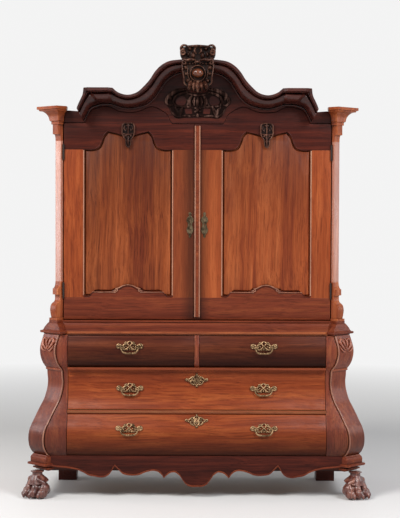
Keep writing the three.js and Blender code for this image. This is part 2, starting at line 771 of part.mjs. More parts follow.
function cornice() {
  const [blockStart, blockEnd] = corniceBlockShares;
  const right = corniceFootShares.map((foot, station) => {
    const top = corniceTopShares[station];
    const inBlock = top[0] >= blockStart && top[0] <= blockEnd;
    return corniceRing(headPoint(foot), headPoint(top), inBlock ? corniceBlockProjection : corniceProjection);
  });
  const left = right.slice(0, -1).reverse()
    .map((ring) => ring.map((point) => new THREE.Vector3(-point.x, point.y, point.z)));
  return loft([...right, ...left], (point) => new THREE.Vector2(point.z, point.y));
}

function cresting() {
  const archTop = shoulderZ + headHeight;
  const foot = archTop - crestBelowArch;
  const height = crestAboveArch + crestBelowArch;
  const right = crestShares.map(([x, up]) => [crestHalfWidth * x, foot + height * up]);
  const outline = [...right, ...right.slice(1, -1).reverse().map(([x, z]) => [-x, z])];
  const back = -doorFrontY - corniceProjection - 2 * seatGap;
  const carving = upright(outline, back, crestThickness);
  const heel = cut(upright(outline, back + crestBackDepth, crestBackDepth + seatGap),
    box(-2 * crestHalfWidth, 2 * crestHalfWidth, back - overrun, 0, foot - overrun, archTop + seatGap));
  const boss = new THREE.SphereGeometry(1, roundSides, roundSteps)
    .scale(bossHalfWidth, bossDepth, bossHalfHeight)
    .translate(0, back - crestThickness, foot + height * bossHeightShare);
  return fuse(carving, heel, boss);
}

// Doors, drawn for the right-hand side

const doorOuterX = jambX - doorSideGap;
const doorBackY = doorThickness - doorFrontY;
const rightDoorInnerX = -astragalHalfWidth + seatGap * 2;
const leftDoorInnerX = doorMeetGap - rightDoorInnerX;
const openingFootZ = doorFootZ + bottomRailHeight;
const openingHeadZ = shoulderZ + headHeight * doorPeakShare - doorHeadMargin;
const lockZ = doorFootZ + boltAboveFoot;
const lockY = doorBackY - doorThickness / 2;

function doorOutline(innerX) {
  const head = doorHeadShares.map(headPoint);
  const innerHead = head[head.length - 1][1];
  return [[innerX, doorFootZ], [doorOuterX, doorFootZ], [doorOuterX, shoulderZ], ...head, [innerX, innerHead]];
}

// The panel opening, grown about its middle
function opening(grow) {
  const outer = doorOuterX - stileWidth;
  const middleX = (outer + lockStileWidth) / 2;
  const middleZ = (openingFootZ + openingHeadZ) / 2;
  const halfWidth = (outer - lockStileWidth) / 2;
  const halfHeight = (openingHeadZ - openingFootZ) / 2;
  const right = [
    ...panelFootShares.map(([x, up]) => [halfWidth * x, panelFootHeight * up - halfHeight]),
    ...panelHeadShares.map(([x, up]) => [halfWidth * x, halfHeight - panelHeadHeight * (1 - up)]),
  ];
  const left = right.slice(1, -1).reverse().map(([x, z]) => [-x, z]);
  return [...right, ...left].map(([x, z]) => [
    middleX + x * (halfWidth + grow) / halfWidth,
    middleZ + z * (halfHeight + grow) / halfHeight,
  ]);
}

// A slot for the bolt, from one place to another across the doors
function boltSlot(x0, x1) {
  const halfHeight = boltHeight / 2 + boltClearance;
  const halfThickness = boltThickness / 2 + boltClearance;
  return box(x0, x1, lockY - halfThickness, lockY + halfThickness, lockZ - halfHeight, lockZ + halfHeight);
}

function doorFrame(innerX, slot) {
  const frame = upright(doorOutline(innerX), doorBackY, doorThickness, [opening(0)]);
  const rebate = upright(opening(panelRebate), doorBackY + overrun, doorThickness - panelLip + overrun);
  return cut(frame, rebate, slot);
}

function doorPanel() {
  const back = panelLip + seatGap + panelThickness - doorFrontY;
  const board = upright(opening(panelRebate - seatGap), back, panelThickness);
  const field = upright(opening(-panelMargin), back - panelThickness + seatGap, panelRaise + seatGap);
  return fuse(board, field);
}

function astragal() {
  const wallY = -doorFrontY - seatGap;
  const half = astragalHalfWidth - seatGap;
  const profile = Array.from({ length: astragalSides + 1 }, (unused, side) => {
    const turn = Math.PI * side / astragalSides;
    return [-half * Math.cos(turn), wallY - astragalDepth * Math.sin(turn)];
  });
  return level(profile.map(([x, y]) => [x + seatGap, y]), doorFootZ + astragalInset, shoulderZ - astragalInset);
}

function lockBolt() {
  const x0 = rightDoorInnerX + seatGap;
  return box(x0, x0 + boltLength, lockY - boltThickness / 2, lockY + boltThickness / 2,
    lockZ - boltHeight / 2, lockZ + boltHeight / 2);
}

function hingePin(z) {
  return new THREE.CylinderGeometry(hingePinRadius, hingePinRadius, hingePinLength, hingePinSides)
    .rotateX(Math.PI / 2)
    .translate(doorOuterX + hingePinOutset, -doorFrontY - seatGap - hingePinRadius, z);
}

// Brass

function symmetricOutline(shares, halfWidth, halfHeight) {
  const right = shares.map(([x, z]) => [halfWidth * x, halfHeight * z]);
  return [...right, ...right.slice(1, -1).reverse().map(([x, z]) => [-x, z])];
}

function doorPlate() {
  const keyhole = symmetricOutline(keyholeShares, keyholeHalfWidth, keyholeHalfHeight);
  const outline = symmetricOutline(doorPlateShares, doorPlateHalfWidth, doorPlateHalfHeight);
  return upright(outline, -doorFrontY - seatGap, doorPlateThickness, [keyhole])
    .translate(doorPlateX, 0, lockZ);
}

// A back plate with the two eyes that its bail hangs in
function handlePlate() {
  const plate = upright(symmetricOutline(plateShares, plateHalfWidth, plateHalfHeight), 0, plateThickness);
  const eyes = [-eyeX, eyeX].map((x) => new THREE.CylinderGeometry(eyeRadius, eyeRadius, eyeLength,
    eyeSides)
    .translate(x, seatGap - plateThickness - eyeLength / 2, 0));
  return fuse(plate, ...eyes);
}

function bail() {
  const pivotY = -plateThickness - bailReach;
  const half = [
    [eyeX + eyeRadius + bailEndGap, 0], ...bailShares.map(([x, z]) => [bailHalfWidth * x, bailDrop * z]),
  ];
  const points = [...half, ...half.slice(0, -1).reverse().map(([x, z]) => [-x, z])];
  const path = new THREE.CatmullRomCurve3(points.map(([x, z]) => new THREE.Vector3(x, pivotY, z)));
  const section = shapeOf(Array.from({ length: bailSides }, (unused, side) => {
    const turn = 2 * Math.PI * side / bailSides;
    return [bailRadius * Math.cos(turn), bailRadius * Math.sin(turn)];
  }));
  return new THREE.ExtrudeGeometry(section, { steps: bailSteps, extrudePath: path });
}

// A group that lies on the swelling front at a height, leaning with it
function onFront(row, share, x) {
  const z = row.z + row.height * share;
  const [low, high] = [z - plateHalfHeight, z + plateHalfHeight];
  const [lowSwell, highSwell] = [swellAt(low), swellAt(high)];
  const crown = Math.max(...swellHeights(low, high)
    .map((at) => swellAt(at) - THREE.MathUtils.mapLinear(at, low, high, lowSwell, highSwell)));
  const group = new THREE.Group();
  group.position.set(x, -chestFrontY - (lowSwell + highSwell) / 2 - crown - seatGap, z);
  group.rotation.x = -Math.atan2(lowSwell - highSwell, high - low);
  return group;
}

function handle(name, row, share, x) {
  const group = onFront(row, share, x);
  group.add(named(`handle_plate_${name}`, handlePlate(), brass), named(`bail_${name}`, bail(), brass));
  return group;
}

// Assembly

const kas = new THREE.Group();

kas.add(
  ...pair('chest_side', chestSide(), walnut),
  named('chest_back', chestBack(), caseWood),
  named('chest_bottom', chestBottom(), caseWood),
  named('chest_top', waistMoulding(), walnut),
  ...pair('corner_post', cornerPost(), walnut),
  named('drawer_rail_lower', drawerRail(lowerRailZ, lowerRailHeight), walnut),
  named('drawer_rail_upper', drawerRail(upperRailZ, upperRailHeight), walnut),
  named('drawer_divider', drawerDivider(), walnut),
  named('plinth', plinth(), walnut),
  named('apron', apron(), darkWalnut),
  ...pair('paw_foot', pawFoot(), carvedWood),
  ...pair('rear_foot', rearFoot(), darkWalnut),
);

kas.add(
  ...pair('cabinet_side', cabinetSide(), walnut),
  named('cabinet_back', box(-boardHalfWidth, boardHalfWidth, backFaceY + seatGap, backY, cabinetFootZ,
    cabinetTopZ), caseWood),
  named('cabinet_bottom', cabinetBoard(cabinetFootZ), caseWood),
  named('cabinet_top', cabinetBoard(cabinetTopZ - boardThickness), caseWood),
  ...shelfShares.map((share, index) => named(`shelf_${index + 1}`,
    cabinetBoard(THREE.MathUtils.lerp(cabinetFootZ, cabinetTopZ, share)), caseWood)),
  ...pair('pilaster', pilaster(), walnut),
  named('pediment', pediment(), darkWalnut),
  named('cornice', cornice(), darkWalnut),
  named('cresting', cresting(), carvedWood),
);

const rightSlot = boltSlot(rightDoorInnerX - overrun, rightDoorInnerX + boltLength + 2 * boltClearance);
const leftSlot = boltSlot(leftDoorInnerX - overrun, leftDoorInnerX + boltThrow);
kas.add(
  named('door_right_frame', doorFrame(rightDoorInnerX, rightSlot), walnut),
  named('door_left_frame', mirrored(doorFrame(leftDoorInnerX, leftSlot)), walnut),
  ...pair('door_panel', doorPanel(), panelWood),
  ...pair('door_escutcheon', doorPlate(), brass),
  named('astragal', astragal(), walnut),
  named('lock_bolt', lockBolt(), iron),
  ...pair('hinge_pin_lower', hingePin(doorFootZ + hingePinInset), iron),
  ...pair('hinge_pin_upper', hingePin(shoulderZ - hingePinInset), iron),
);

for (const [name, row] of [['bottom', bottomRow], ['middle', middleRow]]) {
  kas.add(
    named(`drawer_front_${name}`, drawerFront(row, -drawerHalfWidth, drawerHalfWidth), panelWood),
    named(`drawer_box_${name}`, drawerBox(row, -drawerHalfWidth, drawerHalfWidth), caseWood),
  );
}
const topInnerX = dividerHalfWidth + drawerSideGap;
kas.add(
  ...pair('drawer_front_top', drawerFront(topRow, topInnerX, drawerHalfWidth), panelWood),
  ...pair('drawer_box_top', drawerBox(topRow, topInnerX, drawerHalfWidth), caseWood),
);

[['bottom', bottomRow], ['middle', middleRow], ['top', topRow]].forEach(([name, row], index) => {
  for (const [side, x] of [['right', handleX], ['left', -handleX]]) {
    kas.add(handle(`${name}_${side}`, row, handleHeightShares[index], x));
  }
});

export default kas;
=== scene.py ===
# A Dutch rococo kas: its veneers, mouldings, carving and brass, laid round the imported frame.
# Sizes are in millimetres, and a mesh is scaled to metres as it is made. X is right, Y back, Z up.

import math

import bmesh
import bpy
import numpy as np
from mathutils import Matrix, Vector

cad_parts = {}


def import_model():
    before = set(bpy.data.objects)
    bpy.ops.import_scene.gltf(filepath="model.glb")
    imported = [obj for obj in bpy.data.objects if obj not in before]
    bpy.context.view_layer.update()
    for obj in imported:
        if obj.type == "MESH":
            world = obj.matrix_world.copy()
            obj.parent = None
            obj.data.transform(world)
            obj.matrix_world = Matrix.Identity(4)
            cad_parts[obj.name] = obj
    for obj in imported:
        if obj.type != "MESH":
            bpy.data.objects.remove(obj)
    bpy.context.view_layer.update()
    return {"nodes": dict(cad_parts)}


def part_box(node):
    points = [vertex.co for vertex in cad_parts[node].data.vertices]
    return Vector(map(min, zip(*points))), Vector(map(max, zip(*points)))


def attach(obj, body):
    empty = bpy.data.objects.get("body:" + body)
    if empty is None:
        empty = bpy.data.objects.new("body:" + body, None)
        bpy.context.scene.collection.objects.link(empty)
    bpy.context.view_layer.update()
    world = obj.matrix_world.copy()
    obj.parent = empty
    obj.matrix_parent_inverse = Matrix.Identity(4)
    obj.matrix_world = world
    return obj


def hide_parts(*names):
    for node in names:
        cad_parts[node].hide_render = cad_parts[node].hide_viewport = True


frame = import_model()

MM = 0.001
TINY = 1e-9


def extent(node):
    """The lowest and highest corners of a node of the frame."""
    low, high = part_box(node)
    return low / MM, high / MM


# Places that the frame gives
FOOT_TOP = extent("plinth")[0].z
PLINTH_TOP = extent("plinth")[1].z
CHEST_TOP = extent("chest_top")[0].z
WAIST_TOP = extent("chest_top")[1].z
CASE_FOOT = extent("corner_post_right")[0].z
CASE_HEAD = extent("corner_post_right")[1].z
DOOR_FOOT = extent("door_right_frame")[0].z
DOOR_OUTER_X = extent("door_right_frame")[1].x
JAMB_WIDTH = 11.2
JAMB_X = extent("cabinet_back")[1].x - JAMB_WIDTH
CABINET_HALF_WIDTH = extent("cabinet_side_right")[1].x
CREST_TOP = extent("cresting")[1].z
BACK_Y = extent("cabinet_back")[1].y
LOCK_Z = (extent("lock_bolt")[0].z + extent("lock_bolt")[1].z) / 2

# Plan
SEAT_GAP = 0.3
OVERLAP = 0.6  # by which one form stands inside another, so that no two faces share a plane
CHEST_FRONT = 213.5  # the chest's front, ahead of the origin, where it doesn't swell
DOOR_FRONT = 165
CANT_ORIGIN = 615  # where the diagonals through the two front corners would meet the middle plane
DRAWER_END_X = 711
STILE_X = 713

# The chest's swelling front and sides: height share of the case, share of the deepest swell
BELLY_SWELL = 96
SWELL_SHARES = [
    (0, 0.73), (0.018, 0.82), (0.043, 0.9), (0.068, 0.96), (0.099, 0.99), (0.129, 1), (0.19, 0.96),
    (0.233, 0.875), (0.278, 0.73), (0.34, 0.54), (0.39, 0.375), (0.448, 0.18), (0.5, 0.07),
    (0.558, -0.01), (0.602, -0.03), (0.658, 0), (0.708, 0.04), (0.725, 0.115), (0.751, 0.22),
    (0.784, 0.31), (0.827, 0.375), (0.868, 0.395), (0.91, 0.365), (0.951, 0.29), (1, 0.19),
]
POST_HALF_WIDTH = 65.8
POST_PROUD = 8
POST_DEPTH = 45
SIDE_THICKNESS = 22
POST_ROUND = 4
PLAN_ROUND = 2  # radius of the corners of the chest's other plans

# Pilasters, across their canted faces: share of the height, proud share, width share
SHAFT_HALF_WIDTH = 23.85
SHAFT_PROUD = 9.7
JAMB_DEPTH = 55
BASE_HEIGHT = 214
CAPITAL_HEIGHT = 188
CAPITAL_TOP = extent("pilaster_right")[1].z
CAPITAL_PROUD = 82.5
CAPITAL_HALF_WIDTH = 86.9
CAPITAL_RETURN_DEPTH = 62
PILASTER_ROUND = 1.5
SHAFT_RETURN = 0.5
BASE_SHARES = [
    (0, 0.44, 0.15), (0.055, 0.44, 0.15), (0.06, 0.36, 0), (0.15, 0.42, 0), (0.3, 0.46, 0), (0.4, 0.38, 0),
    (0.5, 0.07, 0), (0.61, 0.04, 0), (0.65, 0.05, 0), (0.66, 0.24, 0), (0.81, 0.24, 0), (0.83, 0.14, 0),
    (0.9, 0.04, 0), (1, 0, 0),
]
CAPITAL_SHARES = [
    (0, 0, 0), (0.12, 0.02, 0), (0.19, 0.07, 0), (0.2, 0.24, 0), (0.48, 0.24, 0), (0.49, 0.28, 0.14),
    (0.57, 0.28, 0.14), (0.59, 0.37, 0.23), (0.72, 0.43, 0.32), (0.8, 0.53, 0.46), (0.86, 0.7, 0.67),
    (0.87, 0.86, 0.84), (0.91, 0.9, 0.88), (0.92, 1, 1), (1, 1, 1),
]

# Waist moulding
WAIST_FRONT = 205
WAIST_PROJECTION = 30
WAIST_CORNER_PROUD = 58.6
WAIST_CORNER_HALF_WIDTH = 87.3
WAIST_CORNER_DEPTH = 60
WAIST_CANT_PROUD = 10
WAIST_BLOCK_ROUND = 3
WAIST_LIP_SHARES = [(0, 0.6), (0.08, 0.58), (0.1, 0.95), (0.12, 1), (0.24, 1), (0.26, 0.9)]
WAIST_SHARES = [
    (0.25, 0.6), (0.3, 0.55), (0.48, 0.48), (0.72, 0.36), (0.84, 0.18), (0.86, 0), (0.91, 0), (0.92, 0.2),
    (1, 0.18),
]
WAIST_CORNER_SHARES = [
    (0, 0.76, 0.82), (0.08, 0.76, 0.82), (0.1, 0.97, 0.98), (0.12, 1, 1), (0.24, 1, 1), (0.26, 0.93, 0.93),
    (0.28, 0.86, 0.86), (0.5, 0.78, 0.72), (0.74, 0.7, 0.52), (0.8, 0.67, 0.47), (0.82, 0.62, 0.41),
    (1, 0.62, 0.41),
]

# Plinth and apron
PLINTH_SIDE_X = 903
PLINTH_FRONT = 256.7
PLINTH_RAIL_DEPTH = 27
PLINTH_SIDE_WIDTH = 43
PLINTH_BACK_DEPTH = 50
PLINTH_CORNER_PROUD = 140
PLINTH_CORNER_HALF_WIDTH = 66.4
PLINTH_CORNER_DEPTH = 75
PLINTH_CANT_PROUD = 100
PLINTH_FLARE = 17
PLINTH_SHARES = [
    (0, -1.5), (0.08, -1.5), (0.09, -0.6), (0.19, -0.6), (0.2, -1.6), (0.3, -1.6), (0.32, 0.7), (0.35, 1),
    (0.45, 1), (0.48, 0.75), (0.5, 0.1), (0.88, -0.1), (0.92, -0.35), (1, -0.6),
]
APRON_HALF_WIDTH = 802
APRON_THICKNESS = 24
APRON_DROP = 173
APRON_BAND = 9
APRON_BAND_PROUD = 3.5
APRON_BAND_ROOT = 1
APRON_SHARES = [
    (1, 0.35), (0.95, 0.38), (0.88, 0.41), (0.81, 0.48), (0.77, 0.56), (0.74, 0.64), (0.7, 0.68),
    (0.65, 0.71), (0.62, 0.68), (0.6, 0.62), (0.575, 0.45), (0.56, 0.34), (0.53, 0.48), (0.505, 0.59),
    (0.46, 0.64), (0.39, 0.62), (0.36, 0.56), (0.325, 0.51), (0.29, 0.49), (0.26, 0.53), (0.24, 0.61),
    (0.223, 0.73), (0.205, 0.64), (0.18, 0.56), (0.15, 0.54), (0.123, 0.61), (0.095, 0.78), (0.067, 0.94),
    (0.033, 1),
]

# Head of the cabinet: share of the half width between the jambs, share of the head's height
SHOULDER = DOOR_FOOT + 1087
HEAD_HEIGHT = 344
CORNER_HEAD_HEIGHT = 72
DOOR_GAP = 4
DOOR_HEAD_SHARES = [
    (0.843, 0), (0.834, 0.006), (0.81, 0.125), (0.782, 0.209), (0.75, 0.238), (0.72, 0.255), (0.692, 0.267),
    (0.635, 0.244), (0.58, 0.186), (0.539, 0.174), (0.469, 0.174), (0.421, 0.201), (0.373, 0.244),
    (0.345, 0.262), (0.296, 0.233), (0.261, 0.192), (0.227, 0.14), (0.206, 0.049), (0.188, -0.012),
]
CORNICE_FOOT_SHARES = [
    (0.839, 0.012), (0.815, 0.112), (0.782, 0.225), (0.72, 0.271), (0.638, 0.281), (0.58, 0.24),
    (0.511, 0.217), (0.434, 0.24), (0.373, 0.281), (0.316, 0.384), (0.275, 0.515), (0.24, 0.634),
    (0.192, 0.73), (0.107, 0.797), (0, 0.817),
]
CORNICE_TOP_SHARES = [
    (0.885, 0.215), (0.871, 0.294), (0.842, 0.43), (0.835, 0.538), (0.622, 0.538), (0.586, 0.474),
    (0.516, 0.43), (0.442, 0.474), (0.395, 0.564), (0.351, 0.672), (0.312, 0.8), (0.272, 0.89),
    (0.221, 0.956), (0.121, 0.991), (0, 1),
]
CORNICE_HEIGHT = 130  # at its arms, for which its profile is drawn
CORNICE_PROJECTION = 122
CORNICE_BLOCK_PROJECTION = 147
CORNICE_BLOCK_STEP = 1
CORNICE_BLOCK = (3, 4)  # the stations between which the cornice breaks forward
CORNICE_PROFILE_SHARES = [
    (0, 0), (0, 0.1), (0.03, 0.16), (0.07, 0.16), (0.1, 0.1), (0.12, 0.14), (0.13, 0.36), (0.18, 0.52),
    (0.28, 0.66), (0.4, 0.75), (0.52, 0.79), (0.62, 0.79), (0.67, 0.75), (0.68, 0.66), (0.72, 0.68),
    (0.74, 0.88), (0.8, 0.94), (0.82, 1), (1, 1), (1, 0),
]
PEDIMENT_BELOW_CORNICE = 8
PEDIMENT_BACK = extent("pediment")[1].y
DOOR_STOP = 12  # how far the stop laps down behind the doors' heads
DOOR_STOP_THICKNESS = 10
CREST_DROP = 26  # how far the carved leaves hang below their block

# Doors
DOOR_THICKNESS = 28
STILE_WIDTH = 112
LOCK_STILE_WIDTH = 138.5
BOTTOM_RAIL_HEIGHT = 129
DOOR_HEAD_MARGIN = 136
PANEL_LIP = 14
PANEL_THICKNESS = 9
# How far a panel reaches outside its opening, and ahead of its own back
PANEL_PROFILE = [(10, 0), (10, 4), (-6, 4), (-9, 12), (-10, 13), (-12, 16), (-14, 17)]
BOLT_THROW = 13
BOLT_GAP = 0.8
PANEL_HEAD_HEIGHT = 102
PANEL_FOOT_HEIGHT = 56
PANEL_HEAD_SHARES = [
    (1, 0), (0.77, 0.02), (0.67, 0.12), (0.6, 0.41), (0.55, 0.76), (0.46, 1), (0.28, 0.9), (0, 0.74),
]
PANEL_FOOT_SHARES = [
    (0, 1), (0.1, 0.93), (0.2, 0.68), (0.25, 0.62), (0.33, 0.58), (0.375, 0.44), (0.49, 0.4), (0.63, 0.42),
    (0.74, 0.44), (0.79, 0.38), (0.87, 0), (1, 0),
]
RIGHT_DOOR_INNER_X = -15.4
LEFT_DOOR_INNER_X = 17.4

# Brass
PLATE_HALF_HEIGHT = 36
PLATE_THICKNESS = 3
HANDLE_X = DRAWER_END_X * 0.52
EYE_X = 36
EYE_RADIUS = 6
BAIL_REACH = 9.5
BAIL_HALF_WIDTH = 48
BAIL_DROP = 36
BAIL_RADIUS = 3.2
BAIL_SHARES = [(0.95, -0.02), (1, -0.2), (0.95, -0.5), (0.75, -0.8), (0.4, -0.96), (0, -1)]
DOOR_PLATE_HALF_WIDTH = 19.5
DOOR_PLATE_HALF_HEIGHT = 73
DOOR_PLATE_X = 40
DOOR_PLATE_THICKNESS = 2.5
DOOR_PLATE_SHARES = [
    (0, 1), (0.4, 0.9), (0.3, 0.7), (0.8, 0.55), (1, 0.3), (0.6, 0.12), (0.75, -0.15), (1, -0.35),
    (0.7, -0.6), (0.35, -0.7), (0.3, -0.9), (0, -1),
]
KEYHOLE_SHARES = [(0, 1), (0.8, 0.75), (0.8, 0.3), (0.35, 0), (0.6, -1), (0, -1)]
KEYHOLE_HALF_WIDTH = 3
KEYHOLE_HALF_HEIGHT = 9


# Lines and forms. A form is a list of points and a list of faces.

def smoothed(points, steps=5, sharpest=48, closed=False):
    """A finer line through the points, curved where they turn gently and broken where they turn sharply."""
    row = np.array(points, float)
    spans = len(row) if closed else len(row) - 1
    step = np.array([row[(index + 1) % len(row)] - row[index] for index in range(spans)])
    length = np.maximum(np.linalg.norm(step, axis=1), TINY)
    unit = step / length[:, None]

    def slopes(index):
        if not closed and index in (0, spans):
            end = unit[0] if index == 0 else unit[-1]
            return end, end
        before, after = index - 1, index % spans
        if unit[before] @ unit[after] < math.cos(math.radians(sharpest)):
            return unit[before], unit[after]
        mean = unit[before] * length[after] + unit[after] * length[before]
        mean /= length[before] + length[after]
        return mean, mean

    line = []
    for index in range(spans):
        start, end = row[index], row[(index + 1) % len(row)]
        leaving = slopes(index)[1] * length[index]
        arriving = slopes((index + 1) % len(row) if closed else index + 1)[0] * length[index]
        for share in np.arange(steps) / steps:
            square, cube = share ** 2, share ** 3
            line.append((2 * cube - 3 * square + 1) * start + (cube - 2 * square + share) * leaving
                        + (3 * square - 2 * cube) * end + (cube - square) * arriving)
    if not closed:
        line.append(row[-1])
    return line


FILLET_SHARE = 0.45  # the most of a side that a rounded corner takes


def filleted(plan, radius, steps=4):
    """A closed plan with each corner rounded off."""
    corners = [np.array(point, float) for point in plan]
    rounded = []
    for index, tip in enumerate(corners):
        back = corners[index - 1] - tip
        ahead = corners[(index + 1) % len(corners)] - tip
        start = tip + back * min(radius / np.linalg.norm(back), FILLET_SHARE)
        end = tip + ahead * min(radius / np.linalg.norm(ahead), FILLET_SHARE)
        for share in np.arange(steps + 1) / steps:
            rounded.append((1 - share) ** 2 * start + 2 * share * (1 - share) * tip + share ** 2 * end)
    return rounded


def circle(radius, sides, middle=(0, 0), tall=None):
    """Points round a circle, or an oval where it is given another height, back to the first of them."""
    tall = radius if tall is None else tall
    return [(middle[0] + radius * math.cos(turn), middle[1] + tall * math.sin(turn))
            for turn in np.linspace(0, 2 * math.pi, sides + 1)]


def mirror_closed(right):
    """A line between two points of the middle plane, closed by its mirror image."""
    return [*right, *[(-x, z) for x, z in reversed(right[1:-1])]]


def loft(rings, looped=False):
    """A skin over rings of points, capped at both ends or looped back to its first ring."""
    count = len(rings[0])
    faces = []
    for ring in range(len(rings) if looped else len(rings) - 1):
        following = (ring + 1) % len(rings)
        for side in range(count):
            beside = (side + 1) % count
            faces.append((ring * count + side, ring * count + beside,
                          following * count + beside, following * count + side))
    if not looped:
        faces.append(tuple(reversed(range(count))))
        faces.append(tuple(range((len(rings) - 1) * count, len(rings) * count)))
    return [tuple(point) for ring in rings for point in ring], faces


def stack(levels, looped=False):
    """Plans lofted one above another, each at its height."""
    return loft([[(x, y, z) for x, y in plan] for z, plan in levels], looped)


def lengthwise(profile, x0, x1):
    """A profile in Y and Z, from x0 to x1."""
    return loft([[(x, y, z) for y, z in profile] for x in (x0, x1)])


def placed(form, matrix):
    points, faces = form
    return [tuple(matrix @ Matrix.Translation(point).to_translation()) for point in points], faces


def moved(forms, x=0, y=0, z=0):
    return [([(px + x, py + y, pz + z) for px, py, pz in points], faces) for points, faces in forms]


def mirrored(form):
    points, faces = form
    return [(-x, y, z) for x, y, z in points], [tuple(reversed(face)) for face in faces]


def both(forms):
    return [*forms, *map(mirrored, forms)]


def winding(outline):
    return sum(a[0] * b[1] - b[0] * a[1] for a, b in zip(outline, [*outline[1:], outline[0]]))


WELD = 0.01  # points of a board that are nearer to each other than this become one


def board(outline, back, thickness, bevel=1.5, holes=()):
    """An outline in X and Z as a board with softened edges, from back forward by a thickness."""
    curve = bpy.data.curves.new("outline", "CURVE")
    curve.dimensions = "2D"
    curve.fill_mode = "BOTH"
    curve.extrude = thickness / 2 - bevel
    curve.bevel_depth = bevel
    curve.bevel_resolution = 2
    curve.offset = -bevel
    for index, line in enumerate([outline, *holes]):
        wanted = 1 if index == 0 else -1
        line = list(line) if winding(line) * wanted > 0 else list(reversed(line))
        spline = curve.splines.new("POLY")
        spline.points.add(len(line) - 1)
        for point, (x, z) in zip(spline.points, line):
            point.co = (x, z, 0, 1)
        spline.use_cyclic_u = True
    holder = bpy.data.objects.new("outline", curve)
    bpy.context.collection.objects.link(holder)
    ready = holder.evaluated_get(bpy.context.evaluated_depsgraph_get())
    mesh = bpy.data.meshes.new_from_object(ready)
    bpy.data.objects.remove(holder)
    form = bmesh.new()
    form.from_mesh(mesh)
    bmesh.ops.remove_doubles(form, verts=form.verts, dist=WELD)
    points = [(v.co.x, back - thickness / 2 - v.co.z, v.co.y) for v in form.verts]
    faces = [tuple(v.index for v in face.verts) for face in form.faces]
    form.free()
    return points, faces


def strand(path, widths, lifts=(0,), height=0.8, sides=10, steps=5, sharpest=70):
    """A carved roll along a line in X and Z, standing out of the plane y = 0. Widths are half widths along
    the line, lifts are how far its middle stands forward, and height is its depth over its width."""
    line = np.array(smoothed(path, steps, sharpest))
    gaps = np.linalg.norm(np.diff(line, axis=0), axis=1)
    along = np.concatenate([[0], np.cumsum(gaps)]) / gaps.sum()
    ahead = np.gradient(line, axis=0)
    ahead /= np.maximum(np.linalg.norm(ahead, axis=1), TINY)[:, None]
    half = np.interp(along, np.linspace(0, 1, len(widths)), widths)
    lift = np.interp(along, np.linspace(0, 1, len(lifts)), lifts)
    section = circle(1, sides)[:-1]
    return loft([[(x + ahead_z * width * across, -out - height * width * rise, z - ahead_x * width * across)
                  for across, rise in section]
                 for (x, z), (ahead_x, ahead_z), width, out in zip(line, ahead, half, lift)])


def ball(x, z, lift, across, up, out, sides=20, belts=12):
    """An egg-shaped boss on the plane y = 0."""
    rings = []
    for belt in range(1, belts):
        turn = math.pi * belt / belts
        girth = math.sin(turn)
        rings.append([(x + across * girth * cosine, out * math.cos(turn) - lift, z + up * girth * sine)
                      for cosine, sine in circle(1, sides)[:-1]])
    return loft(rings)


def ornament(rows):
    """Carved forms from rows of their measures. A roll's row is its line, half widths, lifts and depth over
    width, and a ball's row is its x, z and lift and its half sizes across, up and out."""
    return [ball(*row) if np.isscalar(row[0]) else strand(*row) for row in rows]


def volute(x, z, radius, begin, turns, hand=1, tightest=0.25):
    """Points that wind in to x, z, starting in a direction given in degrees."""
    steps = max(6, round(abs(turns) * 10))
    points = []
    for share in np.arange(steps + 1) / steps:
        turn = math.radians(begin) + hand * 2 * math.pi * turns * share
        reach = radius * (1 - share * (1 - tightest))
        points.append((x + reach * math.cos(turn), z + reach * math.sin(turn)))
    return points


def turned(profile, sides=24):
    """A form turned about the Z axis, from points of radius and height."""
    return stack([(z, circle(radius, sides)[:-1]) for radius, z in profile])


# Pieces

def as_mesh(name, forms):
    mesh = bpy.data.meshes.new(name)
    whole = bmesh.new()
    for points, faces in forms:
        verts = [whole.verts.new([value * MM for value in point]) for point in points]
        for face in faces:
            whole.faces.new([verts[index] for index in face])
    bmesh.ops.recalc_face_normals(whole, faces=whole.faces)
    whole.to_mesh(mesh)
    whole.free()
    return mesh


def dressed(name, mesh, look, body, nodes=(), sharpest=34):
    """A mesh as a piece with its finish, riding on a body and standing for the nodes it covers."""
    piece = bpy.data.objects.new(name, mesh)
    bpy.context.collection.objects.link(piece)
    mesh.materials.append(look)
    mesh.polygons.foreach_set("use_smooth", [True] * len(mesh.polygons))
    mesh.set_sharp_from_angle(angle=math.radians(sharpest))
    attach(piece, body)
    if nodes:
        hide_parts(*nodes)
    return piece


def modified(mesh, *settings):
    """The mesh with modifiers applied, each given as its kind and its values."""
    holder = bpy.data.objects.new("working", mesh)
    bpy.context.collection.objects.link(holder)
    for kind, values in settings:
        modifier = holder.modifiers.new(kind.lower(), kind)
        for key, value in values.items():
            setattr(modifier, key, value)
    ready = holder.evaluated_get(bpy.context.evaluated_depsgraph_get())
    result = bpy.data.meshes.new_from_object(ready)
    bpy.data.objects.remove(holder)
    return result


def softened(mesh, width=1.5, angle=40):
    return modified(mesh, ("BEVEL", {"width": width * MM, "segments": 2, "limit_method": "ANGLE",
                                     "angle_limit": math.radians(angle)}))


def carved(name, forms, grain=2.0, passes=4, keep=0.5):
    """Forms run together into one carved skin."""
    return modified(as_mesh(name, forms), ("REMESH", {"mode": "VOXEL", "voxel_size": grain * MM}),
                    ("SMOOTH", {"factor": 0.5, "iterations": passes}), ("DECIMATE", {"ratio": keep}))


def fitted(mesh, low, high):
    """A mesh stretched to a box, given in millimetres."""
    places = np.empty(3 * len(mesh.vertices))
    mesh.vertices.foreach_get("co", places)
    places = places.reshape(-1, 3)
    old_low, old_high = places.min(0), places.max(0)
    new_low, new_high = np.array(low) * MM, np.array(high) * MM
    places = new_low + (places - old_low) / (old_high - old_low) * (new_high - new_low)
    mesh.vertices.foreach_set("co", places.ravel())
    mesh.update()
    return mesh


